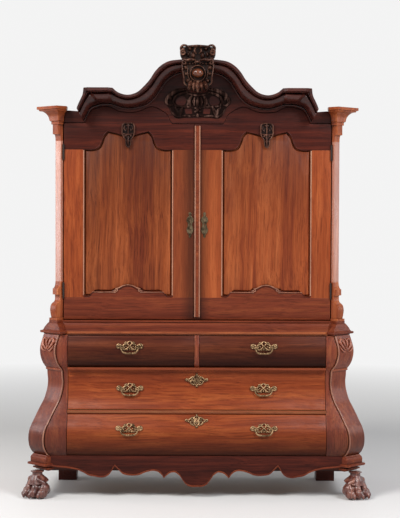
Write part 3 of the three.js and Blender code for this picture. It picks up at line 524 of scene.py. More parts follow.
def other_hand(mesh):
    copy = mesh.copy()
    copy.transform(Matrix.Scale(-1, 4, (1, 0, 0)))
    copy.flip_normals()
    return copy


def pair(name, mesh, look, bodies=("case", "case"), nodes=None):
    """A piece for the right-hand side and its mirror image for the left."""
    nodes = nodes if nodes is not None else name
    copy = other_hand(mesh)
    for side, form, body in (("right", mesh, bodies[0]), ("left", copy, bodies[1])):
        stands_for = [f"{nodes}_{side}"] if nodes else ()
        dressed(f"{name}_{side}_piece", form, look, body, stands_for)


# Materials

def tone(code):
    """A colour as written in sRGB, for a colour socket."""
    parts = [int(code[index:index + 2], 16) / 255 for index in (0, 2, 4)]
    return (*[part / 12.92 if part <= 0.04045 else ((part + 0.055) / 1.055) ** 2.4 for part in parts], 1)


class Tree:
    """A material's node tree, filled one node at a time."""

    def __init__(self, name, slot):
        self.material = bpy.data.materials.new(name)
        self.material.use_nodes = True
        self.material["slot"] = slot
        self.nodes = self.material.node_tree.nodes
        self.links = self.material.node_tree.links
        self.shader = self.nodes["Principled BSDF"]

    def add(self, kind, inputs=None, **settings):
        node = self.nodes.new("ShaderNode" + kind)
        for key, value in settings.items():
            setattr(node, key, value)
        self.fill(node, inputs or {})
        return node

    def fill(self, node, inputs):
        for key, value in inputs.items():
            if isinstance(value, bpy.types.NodeSocket):
                self.links.new(value, node.inputs[key])
            else:
                node.inputs[key].default_value = value

    def mapped(self, stretch, shift):
        place = self.add("TexCoord").outputs["Object"]
        return self.add("Mapping", {"Vector": place, "Scale": stretch, "Location": shift}).outputs["Vector"]

    def noise(self, vector, scale, detail=4, roughness=0.55, distortion=0):
        return self.add("TexNoise", {"Vector": vector, "Scale": scale, "Detail": detail,
                                     "Roughness": roughness, "Distortion": distortion}).outputs["Fac"]

    def ramp(self, value, stops):
        node = self.add("ValToRGB", {"Fac": value})
        elements = node.color_ramp.elements
        while len(elements) < len(stops):
            elements.new(1)
        for element, (place, color) in zip(elements, stops):
            element.position = place
            element.color = color
        return node.outputs["Color"]

    def spread(self, value, low, high, to_low=0, to_high=1):
        return self.add("MapRange", {"Value": value, "From Min": low, "From Max": high, "To Min": to_low,
                                     "To Max": to_high}).outputs["Result"]

    def mix(self, share, first, second, blend="MIX"):
        node = self.add("Mix", data_type="RGBA", blend_type=blend)
        self.fill(node, {0: share, 6: first, 7: second})
        return node.outputs[2]

    def math(self, operation, first, second):
        return self.add("Math", {0: first, 1: second}, operation=operation).outputs["Value"]


ALONG_X = (0.045, 1, 1)
ALONG_Y = (1, 0.045, 1)
ALONG_Z = (1, 1, 0.045)
# The dark tone mixed in for painted shade in creases and along the shades, and for the left panel's darker
# veneer strip
DARK_MIX_TONE = "120604"
PORE_DEPTH = 0.0005  # in metres, as is the next
CAST_DEPTH = 0.0004


def wood(name, slot, along, dark, middle, light, shift, rough=0.36, gloss=0.16, figure=1.0, crease_shade=0.6,
         wear_and_highlight=0.35, leaf_width=0, shades=()):
    """Waxed wood: fine straight figure, dark streaks and open pores along the grain, painted shade in its
    concave creases, and arrises lightened by wear and by painted highlight. A leaf width lays it in veneers
    side by side, each of its own tone. Each shade darkens it towards one end of an axis, most of them as
    painted shade: the axis, where it is darkest, where it is clear, and how much."""
    tree = Tree(name, slot)
    plain = tree.mapped((1, 1, 1), shift)
    sway = tree.math("MULTIPLY", tree.noise(plain, 1.7, 2), 0.06)
    bend = tree.add("CombineXYZ", {"X": sway, "Y": sway, "Z": sway}).outputs["Vector"]
    grain = tree.add("VectorMath", {0: tree.mapped(along, shift), 1: bend}, operation="ADD").outputs["Vector"]
    broad = tree.noise(grain, 9 * figure, 3, 0.5, 0.3)
    bands = tree.noise(grain, 46 * figure, 5, 0.62, 0.2)
    streaks = tree.noise(grain, 170 * figure, 4, 0.6)
    pores = tree.noise(grain, 700, 3, 0.5)
    patches = tree.noise(plain, 2.4, 3)
    tones = tree.math("ADD", tree.math("MULTIPLY", broad, 0.35), tree.math("MULTIPLY", bands, 0.65))
    if leaf_width:
        across = tree.add("SeparateXYZ", {"Vector": plain}).outputs["X"]
        leaves = tree.math("FLOOR", tree.math("DIVIDE", across, leaf_width * MM), 0)
        shade = tree.add("TexWhiteNoise", {"W": leaves}, noise_dimensions="1D").outputs["Value"]
        tones = tree.math("ADD", tones, tree.spread(shade, 0, 1, -0.05, 0.05))
    color = tree.ramp(tones, [(0.35, tone(dark)), (0.5, tone(middle)), (0.65, tone(light))])
    color = tree.mix(tree.spread(streaks, 0.5, 0.68, 0, 0.55), color, tone(dark), "MULTIPLY")
    color = tree.mix(tree.spread(pores, 0.56, 0.66, 0, 0.5), color, tone(dark))
    color = tree.mix(tree.spread(patches, 0.45, 0.7, 0, 0.35), color, tone(dark))
    edge = tree.add("NewGeometry").outputs["Pointiness"]
    # Painted shade: darkens concave creases, found by pointiness
    color = tree.mix(tree.spread(edge, 0.495, 0.44, 0, crease_shade), color, tone(DARK_MIX_TONE))
    # Lightens convex arrises: rubbed wear, and painted highlight
    color = tree.mix(tree.spread(edge, 0.53, 0.62, 0, wear_and_highlight), color, tone(light), "SCREEN")
    # Painted shade along an axis; only the left panel's narrow shade is a darker veneer strip
    for axis, darkest, clear, amount in shades:
        place = tree.add("TexCoord").outputs["Object"]
        height = tree.add("SeparateXYZ", {"Vector": place}).outputs[axis]
        color = tree.mix(tree.spread(height, darkest * MM, clear * MM, amount, 0), color, tone(DARK_MIX_TONE))
    smears = tree.noise(plain, 9, 4)
    haze = tree.math("ADD", tree.spread(smears, 0.3, 0.7, rough - 0.05, rough + 0.09),
                     tree.spread(pores, 0.56, 0.66, 0, 0.12))
    ridges = tree.math("MULTIPLY", streaks, 0.5)
    relief = tree.math("SUBTRACT", ridges, tree.spread(pores, 0.54, 0.66, 0, 0.7))
    bump = tree.add("Bump", {"Height": relief, "Strength": 0.3, "Distance": PORE_DEPTH})
    tree.fill(tree.shader, {"Base Color": color, "Roughness": haze, "Normal": bump.outputs["Normal"],
                            "Specular IOR Level": gloss})
    return tree.material


def metal(name, slot, dark, light, tarnish, rough, metallic=1.0):
    """Old metal, tarnished in its hollows and rubbed bright on its high places."""
    tree = Tree(name, slot)
    plain = tree.mapped((1, 1, 1), (3.1, 0.4, 1.7))
    cloud = tree.noise(plain, 38, 6, 0.65)
    fine = tree.noise(plain, 420, 3)
    color = tree.ramp(cloud, [(0.35, tone(dark)), (0.62, tone(light))])
    edge = tree.add("NewGeometry").outputs["Pointiness"]
    color = tree.mix(tree.spread(edge, 0.5, 0.42, 0, 0.85), color, tone(tarnish))
    color = tree.mix(tree.spread(edge, 0.52, 0.6, 0, 0.6), color, tone(light))
    gloss = tree.math("ADD", tree.spread(cloud, 0.3, 0.7, rough - 0.07, rough + 0.12),
                      tree.spread(edge, 0.5, 0.42, 0, 0.2))
    bump = tree.add("Bump", {"Height": tree.math("ADD", fine, cloud), "Strength": 0.25,
                             "Distance": CAST_DEPTH})
    tree.fill(tree.shader, {"Base Color": color, "Roughness": gloss, "Metallic": metallic,
                            "Normal": bump.outputs["Normal"]})
    return tree.material


LEVEL_TONES = ("542012", "6c2f1c", "834124")
DARK_TONES = ("260e0a", "3a1712", "4e2117")
CARVED_TONES = ("1f0e08", "4c2b20", "a0745f")

# Shades: an axis, where on it the wood is darkest, where it is clear, and how much. All of them are painted
# shade, but for the left panel's narrow X shade, which is a darker veneer strip.
# Painted shade: the posts darker towards the bottom, where less light falls
POST_SHADE = ("Z", 235, 440, 0.6)
# Painted shade: the plinth's lower part, seen behind the apron, darker as if in shadow
PLINTH_SHADE = ("Z", 147, 188, 0.85)
# Painted shade: the dark rails darker towards the left side, as the light falls
RAIL_SHADE = ("X", -700, 500, 0.3)
# Painted shadow: the stiles darker towards their tops, under the cornice
STILE_SHADE = ("Z", 2000, 1300, 0.3)
# Painted shade in the carving's hollows: darkest at its ground, clear on its high points
CREST_SHADE = ("Y", -284, -326, 0.96)
CARTOUCHE_SHADE = ("Y", -168, -178, 0.97)
ARCH_SHADE = ("Y", -168, -178, 0.96)
# Painted shade: the bottom drawer and the top drawers darker on their lower parts, which turn down away from
# the light
FRONT_SHADE = ("Z", 236, 400, 0.85)
TOP_FRONT_SHADE = ("Z", 718, 860, 0.82)
# Painted shadow: the panels darker towards their tops, under the cornice, and darker towards the doors'
# middle
PANEL_SHADES = [("Z", 2000, 1350, 0.52), ("X", 60, 300, 0.3)]
# The left panel's Z shade is painted shadow under the cornice; its narrow X shade is a darker veneer strip at
# a board joint
PANEL_LEFT_SHADES = [("Z", 2000, 1350, 0.6), ("X", -543, -540, 0.24)]
# Painted shadow cast by the strip that closes the doors, on the lock stiles and bottom rails
MEETING_SHADE_RIGHT = ("X", 22, 75, 0.62)
MEETING_SHADE_LEFT = ("X", -40, -100, 0.62)
VENEER_WIDTH = 143

UPRIGHT = wood("walnut_upright", "walnut", ALONG_Z, "6f2c15", "8d411f", "a4552d", (0.3, 1.2, 0.7))
LEVEL = wood("walnut_level", "walnut", ALONG_X, *LEVEL_TONES, (1.9, 0.2, 2.3))


def meeting_looks(side, beside, tones):
    """The woods of a door's lock stile and bottom rail, each darker beside the strip that closes the doors:
    painted shadow of the strip.
    """
    stile = wood(f"walnut_lock_stile_{side}", "walnut", ALONG_Z, *tones, (1.3, 0.6, 2.2),
                 shades=[beside, STILE_SHADE])
    rail = wood(f"walnut_door_rail_{side}", "walnut", ALONG_X, *LEVEL_TONES, (0.7, 2.2, 1.5), shades=[beside])
    return stile, rail


# The left lock stile's darker tones are painted shade as well
MEETING_LOOKS = {
    "leaf_right": meeting_looks("right", MEETING_SHADE_RIGHT, ("64270f", "80391c", "974c28")),
    "leaf_left": meeting_looks("left", MEETING_SHADE_LEFT, ("531f0f", "6c2f18", "854324")),
}
# Lighter than the waist's other wood: painted highlight of the light caught on the lip
LIP = wood("walnut_lip", "walnut", ALONG_X, "743519", "98502c", "b46a40", (0.9, 1.4, 2.7), 0.3, 0.3)
DEEP = wood("walnut_deep", "walnut", ALONG_Y, "652717", "823a20", "9b4f2d", (0.9, 2.4, 1.1))
POST = wood("walnut_post", "walnut", ALONG_Z, "5a2315", "753522", "8c4b2e", (2.2, 0.5, 1.6), 0.3, 0.24,
            shades=[POST_SHADE])
PILASTER = wood("walnut_pilaster", "walnut", ALONG_Z, "763a28", "95543c", "b16f52", (0.7, 1.9, 2.5), 0.27,
                0.75)
CAPITAL = wood("walnut_capital", "walnut", ALONG_Z, "743219", "934824", "ae6238", (1.1, 1.4, 0.9), 0.34, 0.2)
PLINTH = wood("walnut_plinth", "walnut", ALONG_X, *LEVEL_TONES, (1.4, 0.8, 1.9), shades=[PLINTH_SHADE])
# Lighter than the post: painted highlight on the carved leaves at a post's head
POST_LEAF = wood("walnut_leaf", "walnut", ALONG_Z, "6a3020", "9c5840", "c08066", (0.4, 1.5, 0.6), 0.3, 0.4)
# Lighter wood for beads, scrolls and the astragal: worn arrises and painted highlight
EDGE = wood("walnut_edge", "walnut", ALONG_Z, "6e4030", "915d47", "b28065", (1.2, 2.1, 0.4), 0.28, 0.5)
CORNICE = wood("dark_walnut_cornice", "dark_walnut", ALONG_X, *DARK_TONES, (0.5, 2.6, 1.1), 0.22, 0.4)
DARK = wood("dark_walnut_level", "dark_walnut", ALONG_X, *DARK_TONES, (2.7, 1.1, 0.2), 0.3, 0.14)
RAIL = wood("dark_walnut_rail", "dark_walnut", ALONG_X, "30100c", "491c13", "602719", (0.2, 1.6, 2.9),
            gloss=0.12, shades=[RAIL_SHADE])
CREST = wood("crest_wood", "carved_wood", ALONG_Z, *CARVED_TONES, (0.1, 2.9, 1.4), 0.3, 0.16, 1.4, 0.8, 0.95,
             shades=[CREST_SHADE])
CARVED = wood("carved_wood", "carved_wood", ALONG_Z, *CARVED_TONES, (1.6, 2.2, 0.5), 0.3, 0.14, 1.4, 0.8,
              0.95, shades=[CARTOUCHE_SHADE])
ARCH_CARVED = wood("arch_carved_wood", "carved_wood", ALONG_Z, "140906", "2a1712", "805f54", (2.3, 0.9, 1.2),
                   0.5, 0.05, 1.4, 0.9, 0.8, shades=[ARCH_SHADE])
BOSS = wood("boss_wood", "carved_wood", ALONG_Z, "3c1a0c", "6a3419", "8e5230", (0.8, 0.2, 1.1), 0.2, 0.5)
PAW_WOOD = wood("paw_wood", "carved_wood", ALONG_Z, "3a1b15", "63342c", "a06a58", (1.1, 0.9, 0.4), 0.22, 0.6,
                1.4, 0.85, 0.6)
FRONT = wood("figured_walnut_level", "figured_walnut", ALONG_X, "6a2a14", "873d1e", "9f5229", (0.6, 1.7, 3.1),
             gloss=0.12, shades=[FRONT_SHADE])
# Darker than the other drawer fronts: a darker veneer, and partly painted shade of the top row under the
# waist
TOP_FRONT = wood("figured_walnut_top", "figured_walnut", ALONG_X, "421910", "5c2b1a", "763c23",
                 (2.4, 0.9, 1.3), gloss=0.1, shades=[TOP_FRONT_SHADE])
PANEL = wood("figured_walnut_upright", "figured_walnut", ALONG_Z, "72301a", "974a26", "b06036",
             (2.1, 0.3, 1.9), gloss=0.14, leaf_width=VENEER_WIDTH, shades=PANEL_SHADES)
# Darker than the right panel: painted shade of the left door, besides its darker veneer strip
PANEL_LEFT = wood("figured_walnut_left", "figured_walnut", ALONG_Z, "672b17", "8a4422", "a45831",
                  (2.1, 0.3, 1.9), gloss=0.14, leaf_width=VENEER_WIDTH, shades=PANEL_LEFT_SHADES)
OAK = wood("oak_inside", "case_oak", ALONG_X, "5a3c22", "8a6440", "a67e54", (0.4, 0.7, 2.6), 0.55, 0.2, 0.8)
BRASS = metal("gilt_brass", "gilt_brass", "2a1c10", "96795a", "0c0604", 0.36)
DARK_BRASS = metal("dark_brass", "gilt_brass", "1c150e", "6c5d48", "0a0604", 0.42)
IRON = metal("forged_iron", "iron", "140b07", "22150f", "0a0604", 0.8, 0.0)


# The chest's swell, and the corner's own frame

SWELL_LINE = np.array(smoothed([(CASE_FOOT + (CASE_HEAD - CASE_FOOT) * height, BELLY_SWELL * share)
                                for height, share in SWELL_SHARES], 8))
LEVEL_STEP = 7


def swell_at(z):
    return float(np.interp(z, SWELL_LINE[:, 0], SWELL_LINE[:, 1]))


def levels(z0, z1):
    return np.linspace(z0, z1, max(2, round((z1 - z0) / LEVEL_STEP)))


SHAFT_FACE_X = CABINET_HALF_WIDTH + SHAFT_PROUD - SHAFT_HALF_WIDTH * math.sqrt(0.5)


def corner(proud, side):
    """A point in plan: proud along the diagonal, out of the pilaster's face, and side across it."""
    return (SHAFT_FACE_X + (proud + side) * math.sqrt(0.5),
            CANT_ORIGIN - SHAFT_FACE_X - (proud - side) * math.sqrt(0.5))


def corner_block(proud, half_width, depth):
    return [corner(proud - depth, -half_width), corner(proud, -half_width),
            corner(proud, half_width), corner(proud - depth, half_width)]


def canted_plan(front, side_x, proud):
    cant = 2 * SHAFT_FACE_X - CANT_ORIGIN + proud * math.sqrt(2)
    return [(side_x, BACK_Y), (side_x, side_x - cant), (cant - front, -front),
            (front - cant, -front), (-side_x, side_x - cant), (-side_x, BACK_Y)]


# Chest

QUIRK_WIDTH = 7  # of the sunk line beside a post's bead
QUIRK_DEPTH = 5


def post_plan(z):
    case_front = CHEST_FRONT + swell_at(z)
    front = case_front + POST_PROUD
    width = POST_HALF_WIDTH * math.sqrt(2)
    arris_x = CANT_ORIGIN + front - width
    outer_y = width - front
    quirk_x, quirk_y = arris_x - QUIRK_WIDTH, QUIRK_DEPTH - case_front
    return [(STILE_X, -case_front), (quirk_x, -case_front), (quirk_x, quirk_y), (arris_x, quirk_y),
            (arris_x, -front), (CANT_ORIGIN + front, outer_y), (arris_x, outer_y),
            (STILE_X, POST_DEPTH - case_front)]


def cant_point(z, across, proud):
    """A point in plan on a post's canted face, across from its middle and proud of it."""
    front = CHEST_FRONT + swell_at(z) + POST_PROUD
    middle = POST_HALF_WIDTH * math.sqrt(0.5)
    return (CANT_ORIGIN + front - middle + (across + proud) * math.sqrt(0.5),
            middle - front + (across - proud) * math.sqrt(0.5))


def corner_posts():
    rings = [(z, filleted(post_plan(z), POST_ROUND)) for z in levels(CASE_FOOT, CASE_HEAD)]
    pair("corner_post", as_mesh("post", [stack(rings)]), POST)


ARRIS_BEAD = 4.2
ARRIS_BEAD_SIDES = 12
ARRIS_BEAD_INSET = 3
ARRIS_BEAD_SUNK = 1
ARRIS_BEAD_SHORT = 1
LEDGE_Z = 700
LEDGE_SHARES = [(-1, 0), (-0.8, 0.7), (-0.3, 1), (0.3, 1), (0.8, 0.7), (1, 0)]
LEDGE_HALF_HEIGHT = 6
LEDGE_HALF_WIDTH = 62.8
LEDGE_PROUD = 7
LEDGE_ROOT = 6


def post_mouldings():
    """The bead down a post's inner arris, and the ledge across its canted face."""
    middle = (ARRIS_BEAD_INSET - POST_HALF_WIDTH, -ARRIS_BEAD_SUNK)
    section = circle(ARRIS_BEAD, ARRIS_BEAD_SIDES, middle)[:-1]
    bead = stack([(z, [cant_point(z, across, proud) for across, proud in section])
                  for z in levels(CASE_FOOT + ARRIS_BEAD_SHORT, CASE_HEAD - ARRIS_BEAD_SHORT)])
    rings = []
    for up, out in LEDGE_SHARES:
        plan = [(-1, -LEDGE_ROOT), (1, -LEDGE_ROOT), (1, LEDGE_PROUD * out), (-1, LEDGE_PROUD * out)]
        rings.append((LEDGE_Z + LEDGE_HALF_HEIGHT * up,
                      [cant_point(LEDGE_Z, LEDGE_HALF_WIDTH * side, proud) for side, proud in plan]))
    pair("post_bead", as_mesh("post_bead", [bead]), EDGE, nodes="")
    pair("post_ledge", as_mesh("post_ledge", [stack(rings)]), POST, nodes="")


POST_LEAVES = [
    ([(4, 812), (20, 822), (38, 842), (44, 862), (34, 876), (22, 870), (24, 858)],
     (2, 5, 8, 8, 6, 4, 2.5), (2, 5, 7, 6), 0.8),
    ([(6, 830), (14, 848), (12, 866), (4, 878)], (2, 5, 5, 2), (2, 6, 3), 0.8),
    ([(10, 806), (26, 806), (42, 818), (54, 838)], (2, 5, 5, 2), (2, 5, 3), 0.8),
    (50, 858, 2, 5, 7, 6),
]
POST_KNOP = (0, 822, 2, 6, 10, 8)
CARVING_GRAIN = 1.5


def post_carving():
    """Leaves on the block at a post's head, drawn flat and then laid on its canted face."""
    forms = [*both(ornament(POST_LEAVES)), ball(*POST_KNOP)]
    laid = [([(*cant_point(z, x, -y), z) for x, y, z in points], faces) for points, faces in forms]
    pair("post_carving", carved("post_carving", laid, CARVING_GRAIN, 2, 0.6), POST_LEAF, nodes="")


def chest_sides():
    rings = []
    for z in levels(CASE_FOOT, CASE_HEAD):
        outer = CANT_ORIGIN + CHEST_FRONT + swell_at(z)
        inner = outer - SIDE_THICKNESS
        front = POST_HALF_WIDTH * math.sqrt(2) - CHEST_FRONT - POST_PROUD - swell_at(z) + SEAT_GAP
        plan = [(inner, front), (outer, front), (outer, BACK_Y), (inner, BACK_Y)]
        rings.append((z, filleted(plan, PLAN_ROUND)))
    pair("chest_side", as_mesh("side", [stack(rings)]), DEEP)


DRAWER_ROUND = 2.2
DIVIDER_ROUND = 1.2
RAIL_BEAD = 4


def swelling_front(name, node):
    """A board whose front swells with the chest, over the box of its node."""
    low, high = extent(node)
    front = [(-CHEST_FRONT - swell_at(z), z) for z in levels(low.z, high.z)]
    return as_mesh(name, [lengthwise([*front, (high.y, high.z), (high.y, low.z)], low.x, high.x)])


def drawer_front(name, node, body):
    mesh = softened(swelling_front(name, node), DRAWER_ROUND)
    dressed(name, mesh, TOP_FRONT if "top" in name else FRONT, body, [node])


def drawer_rail(node):
    low, high = extent(node)
    middle = (low.z + high.z) / 2
    front = CHEST_FRONT + swell_at(middle)
    half = (high.z - low.z) / 2
    bead = [(-front - RAIL_BEAD * math.cos(turn), middle + half * math.sin(turn))
            for turn in np.linspace(-math.pi / 2, math.pi / 2, 13)]
    back = extent("drawer_box_bottom")[0].y
    profile = [*bead, (back, high.z), (back, low.z)]
    dressed(f"{node}_bead", as_mesh(node, [lengthwise(profile, low.x, high.x)]), LEVEL, "case")


def drawer_divider():
    mesh = softened(swelling_front("divider", "drawer_divider"), DIVIDER_ROUND)
    dressed("drawer_divider_piece", mesh, POST, "case", ["drawer_divider"])


def waist():
    height = WAIST_TOP - CHEST_TOP

    def length(shares):
        rings = []
        for z, out in smoothed([(height * z, WAIST_PROJECTION * out) for z, out in shares], 3):
            plan = canted_plan(WAIST_FRONT + out, CANT_ORIGIN + WAIST_FRONT + out, WAIST_CANT_PROUD)
            rings.append((CHEST_TOP + z, filleted(plan, PLAN_ROUND)))
        return stack(rings)

    block_height = height - 2 * OVERLAP
    line = smoothed([(block_height * z, WAIST_CORNER_PROUD * proud, WAIST_CORNER_HALF_WIDTH * width)
                     for z, proud, width in WAIST_CORNER_SHARES], 3)
    block = stack([(CHEST_TOP + OVERLAP + z,
                    filleted(corner_block(proud, half, WAIST_CORNER_DEPTH), WAIST_BLOCK_ROUND))
                   for z, proud, half in line])
    forms = [length(WAIST_SHARES), *both([block])]
    dressed("waist_moulding", as_mesh("waist", forms), LEVEL, "case", ["chest_top"])
    dressed("waist_lip", as_mesh("waist_lip", [length(WAIST_LIP_SHARES)]), LIP, "case")


# Plinth, apron and feet

def plinth():
    """A moulded frame, with a block at each front corner over its paw."""
    height = PLINTH_TOP - FOOT_TOP
    block_share = 1 - 2 * OVERLAP / height
    outer = []
    block = []
    for z, flare in smoothed([(height * z, PLINTH_FLARE * flare) for z, flare in PLINTH_SHARES], 3):
        plan = canted_plan(PLINTH_FRONT, PLINTH_SIDE_X + flare / 2, PLINTH_CANT_PROUD)
        outer.append((FOOT_TOP + z, filleted(plan, PLAN_ROUND)))
        plan = corner_block(PLINTH_CORNER_PROUD + flare, PLINTH_CORNER_HALF_WIDTH + flare / 2,
                            PLINTH_CORNER_DEPTH)
        block.append((FOOT_TOP + OVERLAP + z * block_share, filleted(plan, PLAN_ROUND)))
    inner = filleted(inset_plan(), PLAN_ROUND)
    rails = stack([*outer, (PLINTH_TOP, inner), (FOOT_TOP, inner)], looped=True)
    dressed("plinth_frame", as_mesh("plinth", [rails]), PLINTH, "case", ["plinth"])
    pair("plinth_block", as_mesh("plinth_block", [stack(block)]), LEVEL, nodes="")


def inset_plan():
    """The hollow inside the plinth's frame."""
    side = PLINTH_SIDE_X - PLINTH_SIDE_WIDTH
    cant = side / 4
    front = PLINTH_RAIL_DEPTH - PLINTH_FRONT
    right = [(side, BACK_Y - PLINTH_BACK_DEPTH), (side, front + cant), (side - cant, front)]
    return [*right, *[(-x, y) for x, y in reversed(right)]]


def apron():
    back = -PLINTH_FRONT - SEAT_GAP
    right = [(APRON_HALF_WIDTH * x, PLINTH_TOP - APRON_DROP * drop) for x, drop in APRON_SHARES]
    foot = smoothed([*right, (0, PLINTH_TOP - APRON_DROP), *[(-x, z) for x, z in reversed(right)]], 4, 60)
    outline = [*foot, (-APRON_HALF_WIDTH, PLINTH_TOP), (APRON_HALF_WIDTH, PLINTH_TOP)]
    dressed("apron_piece", as_mesh("apron", [board(outline, back, APRON_THICKNESS)]), RAIL, "case", ["apron"])
    band = board([*foot, *reversed(raised(foot, APRON_BAND))], back - APRON_THICKNESS + APRON_BAND_ROOT,
                 APRON_BAND_PROUD + APRON_BAND_ROOT)
    dressed("apron_band", as_mesh("apron_band", [band]), LEVEL, "case")


def paw_part(proud, side, z, along, across, up, lean=0):
    """An egg-shaped form in the corner's frame, long along the diagonal."""
    points, faces = ball(0, 0, 0, across, up, along, 18, 12)
    cosine, sine = math.cos(math.radians(lean)), math.sin(math.radians(lean))
    return [(*corner(proud - y * cosine - height * sine, side + x), z - y * sine + height * cosine)
            for x, y, height in points], faces


def paw_roll(path, widths, sides=10):
    """A tapering roll through points of proud, side and height in the corner's frame."""
    line = smoothed(path, 5, 80)
    rings = []
    for index, point in enumerate(line):
        ahead = line[min(index + 1, len(line) - 1)] - line[max(index - 1, 0)]
        ahead /= np.linalg.norm(ahead)
        across = np.cross(ahead, (0, 1, 0) if abs(ahead[1]) < 0.8 else (0, 0, 1))
        across /= np.linalg.norm(across)
        beside = np.cross(ahead, across)
        half = np.interp(index / (len(line) - 1), np.linspace(0, 1, len(widths)), widths)
        ring = [point + half * (cosine * across + sine * beside) for cosine, sine in circle(1, sides)[:-1]]
        rings.append([(*corner(p[0], p[1]), p[2]) for p in ring])
    return loft(rings)


# Paw: egg shapes as proud, side, height, half sizes and lean, and rolls as a line and half widths
PAW_PROUD = 132
PAW_PAD = (112, 0, 46, 44, 60, 50)
PAW_HEEL = (78, 0, 34, 22, 38, 32)
PAW_ANKLE = ([(124, 0, 147), (124, 0, 126), (122, 0, 104), (118, 0, 84)], (25, 26, 42, 54), 20)
PAW_COLLAR = ([(124, 0, 147), (124, 0, 141)], (35, 32), 20)
TOE_SIDES = (-56, -20, 18, 54)
TOE_REACHES = (4, 30, 34, 10)
# A toe's egg shapes, as how far ahead of it, share of its side, height, half sizes and lean
KNUCKLE = (-16, 0.98, 52, 30, 18, 28, -32)
TOE_TIP = (0, 1, 28, 29, 20, 28, -8)
CLAW = [(22, 28), (30, 17), (31, 7), (28, 1)]
CLAW_WIDTHS = (10, 9, 6, 2)
# A tendon's points, as how far ahead of the paw, share of its toe's reach, share of its side, and height
TENDON = [(0, 0, 0.3, 122), (12, 0.1, 0.62, 104), (-10, 1, 0.94, 82), (4, 1, 1, 60)]
TENDON_WIDTHS = (6, 10, 12, 7)
PAW_GRAIN = 1.8


def paw():
    forms = [paw_part(*PAW_PAD), paw_roll(*PAW_ANKLE), paw_roll(*PAW_COLLAR), paw_part(*PAW_HEEL)]
    for side, reach in zip(TOE_SIDES, TOE_REACHES):
        out = PAW_PROUD + reach
        for ahead, spread, *egg in (KNUCKLE, TOE_TIP):
            forms.append(paw_part(out + ahead, side * spread, *egg))
        forms.append(paw_roll([(out + ahead, side, z) for ahead, z in CLAW], CLAW_WIDTHS))
        forms.append(paw_roll([(PAW_PROUD + ahead + reach * share, side * spread, z)
                               for ahead, share, spread, z in TENDON], TENDON_WIDTHS))
    return forms


def feet():
    low, high = extent("paw_foot_right")
    pair("paw_foot", fitted(carved("paw", paw(), PAW_GRAIN, 1, 0.5), low, high), PAW_WOOD)


# Cabinet

def pilaster_plan(proud, spread):
    half = SHAFT_HALF_WIDTH + spread
    share = spread / (CAPITAL_HALF_WIDTH - SHAFT_HALF_WIDTH)
    wall = -DOOR_FRONT - SEAT_GAP
    back = JAMB_DEPTH - DOOR_FRONT
    arris = corner(proud, -half)
    end_y = wall - max(SHAFT_RETURN, CAPITAL_RETURN_DEPTH * share)
    end_x = arris[0] + arris[1] - end_y
    across = [(CANT_ORIGIN - y, CANT_ORIGIN - x) for x, y in (arris, (end_x, end_y), (end_x, wall))]
    side_y = corner(0, SHAFT_HALF_WIDTH)[1]
    inner = extent("cabinet_back")[1].x
    return [(JAMB_X, back), (JAMB_X, wall), (end_x, wall), (end_x, end_y), arris, *across,
            (CABINET_HALF_WIDTH + SEAT_GAP, side_y), (inner, side_y), (inner, back)]


def pilasters():
    spread = CAPITAL_HALF_WIDTH - SHAFT_HALF_WIDTH
    foot = extent("pilaster_right")[0].z
    base = smoothed([(foot + BASE_HEIGHT * z, CAPITAL_PROUD * proud, spread * width)
                     for z, proud, width in BASE_SHARES])
    head = smoothed([(CAPITAL_TOP + CAPITAL_HEIGHT * (z - 1), CAPITAL_PROUD * proud, spread * width)
                     for z, proud, width in CAPITAL_SHARES])

    def length(line):
        return stack([(z, filleted(pilaster_plan(proud, max(0, width)), PILASTER_ROUND, 3))
                      for z, proud, width in line])

    pair("pilaster", as_mesh("shaft", [length([base[-1], head[0]])]), PILASTER)
    pair("pilaster_ends", as_mesh("pilaster_ends", [length(base), length(head)]), CAPITAL, nodes="")


def head_point(share):
    return JAMB_X * share[0], SHOULDER + HEAD_HEIGHT * share[1]


def head_line(shares):
    return smoothed([head_point(share) for share in shares], 4)


def raised(points, rise):
    return [(x, z + rise) for x, z in points]


def pediment():
    end = JAMB_X - SEAT_GAP
    foot = raised([(end, SHOULDER), *head_line(DOOR_HEAD_SHARES)], DOOR_GAP)
    head = [*reversed(raised(head_line(CORNICE_TOP_SHARES), -PEDIMENT_BELOW_CORNICE)),
            (end, SHOULDER + CORNER_HEAD_HEIGHT)]
    left_head = [(-x, z) for x, z in reversed(head)]

    def face(foot_line, back, thickness):
        left_foot = [(-x, z) for x, z in reversed(foot_line)]
        return board([*foot_line, *left_foot, *left_head, *head[1:]], back, thickness)

    forms = [face(foot, PEDIMENT_BACK, PEDIMENT_BACK + DOOR_FRONT),
             face(raised(foot, -DOOR_STOP), PEDIMENT_BACK - OVERLAP, DOOR_STOP_THICKNESS)]
    dressed("pediment_board", as_mesh("pediment", forms), DARK, "case", ["pediment"])


def cornice_profile():
    """Shares of the way from foot to top, and of the projection, as a fine line."""
    line = smoothed([(CORNICE_HEIGHT * up, CORNICE_PROJECTION * out) for up, out in CORNICE_PROFILE_SHARES],
                    3, 40)
    return [(up / CORNICE_HEIGHT, out / CORNICE_PROJECTION) for up, out in line]


def cornice_ring(place, projection):
    """The profile set between a foot and a top, given as one row."""
    foot_x, foot_z, top_x, top_z = place
    return [(foot_x + (top_x - foot_x) * up, -DOOR_FRONT - SEAT_GAP - projection * out,
             foot_z + (top_z - foot_z) * up) for up, out in cornice_profile()]


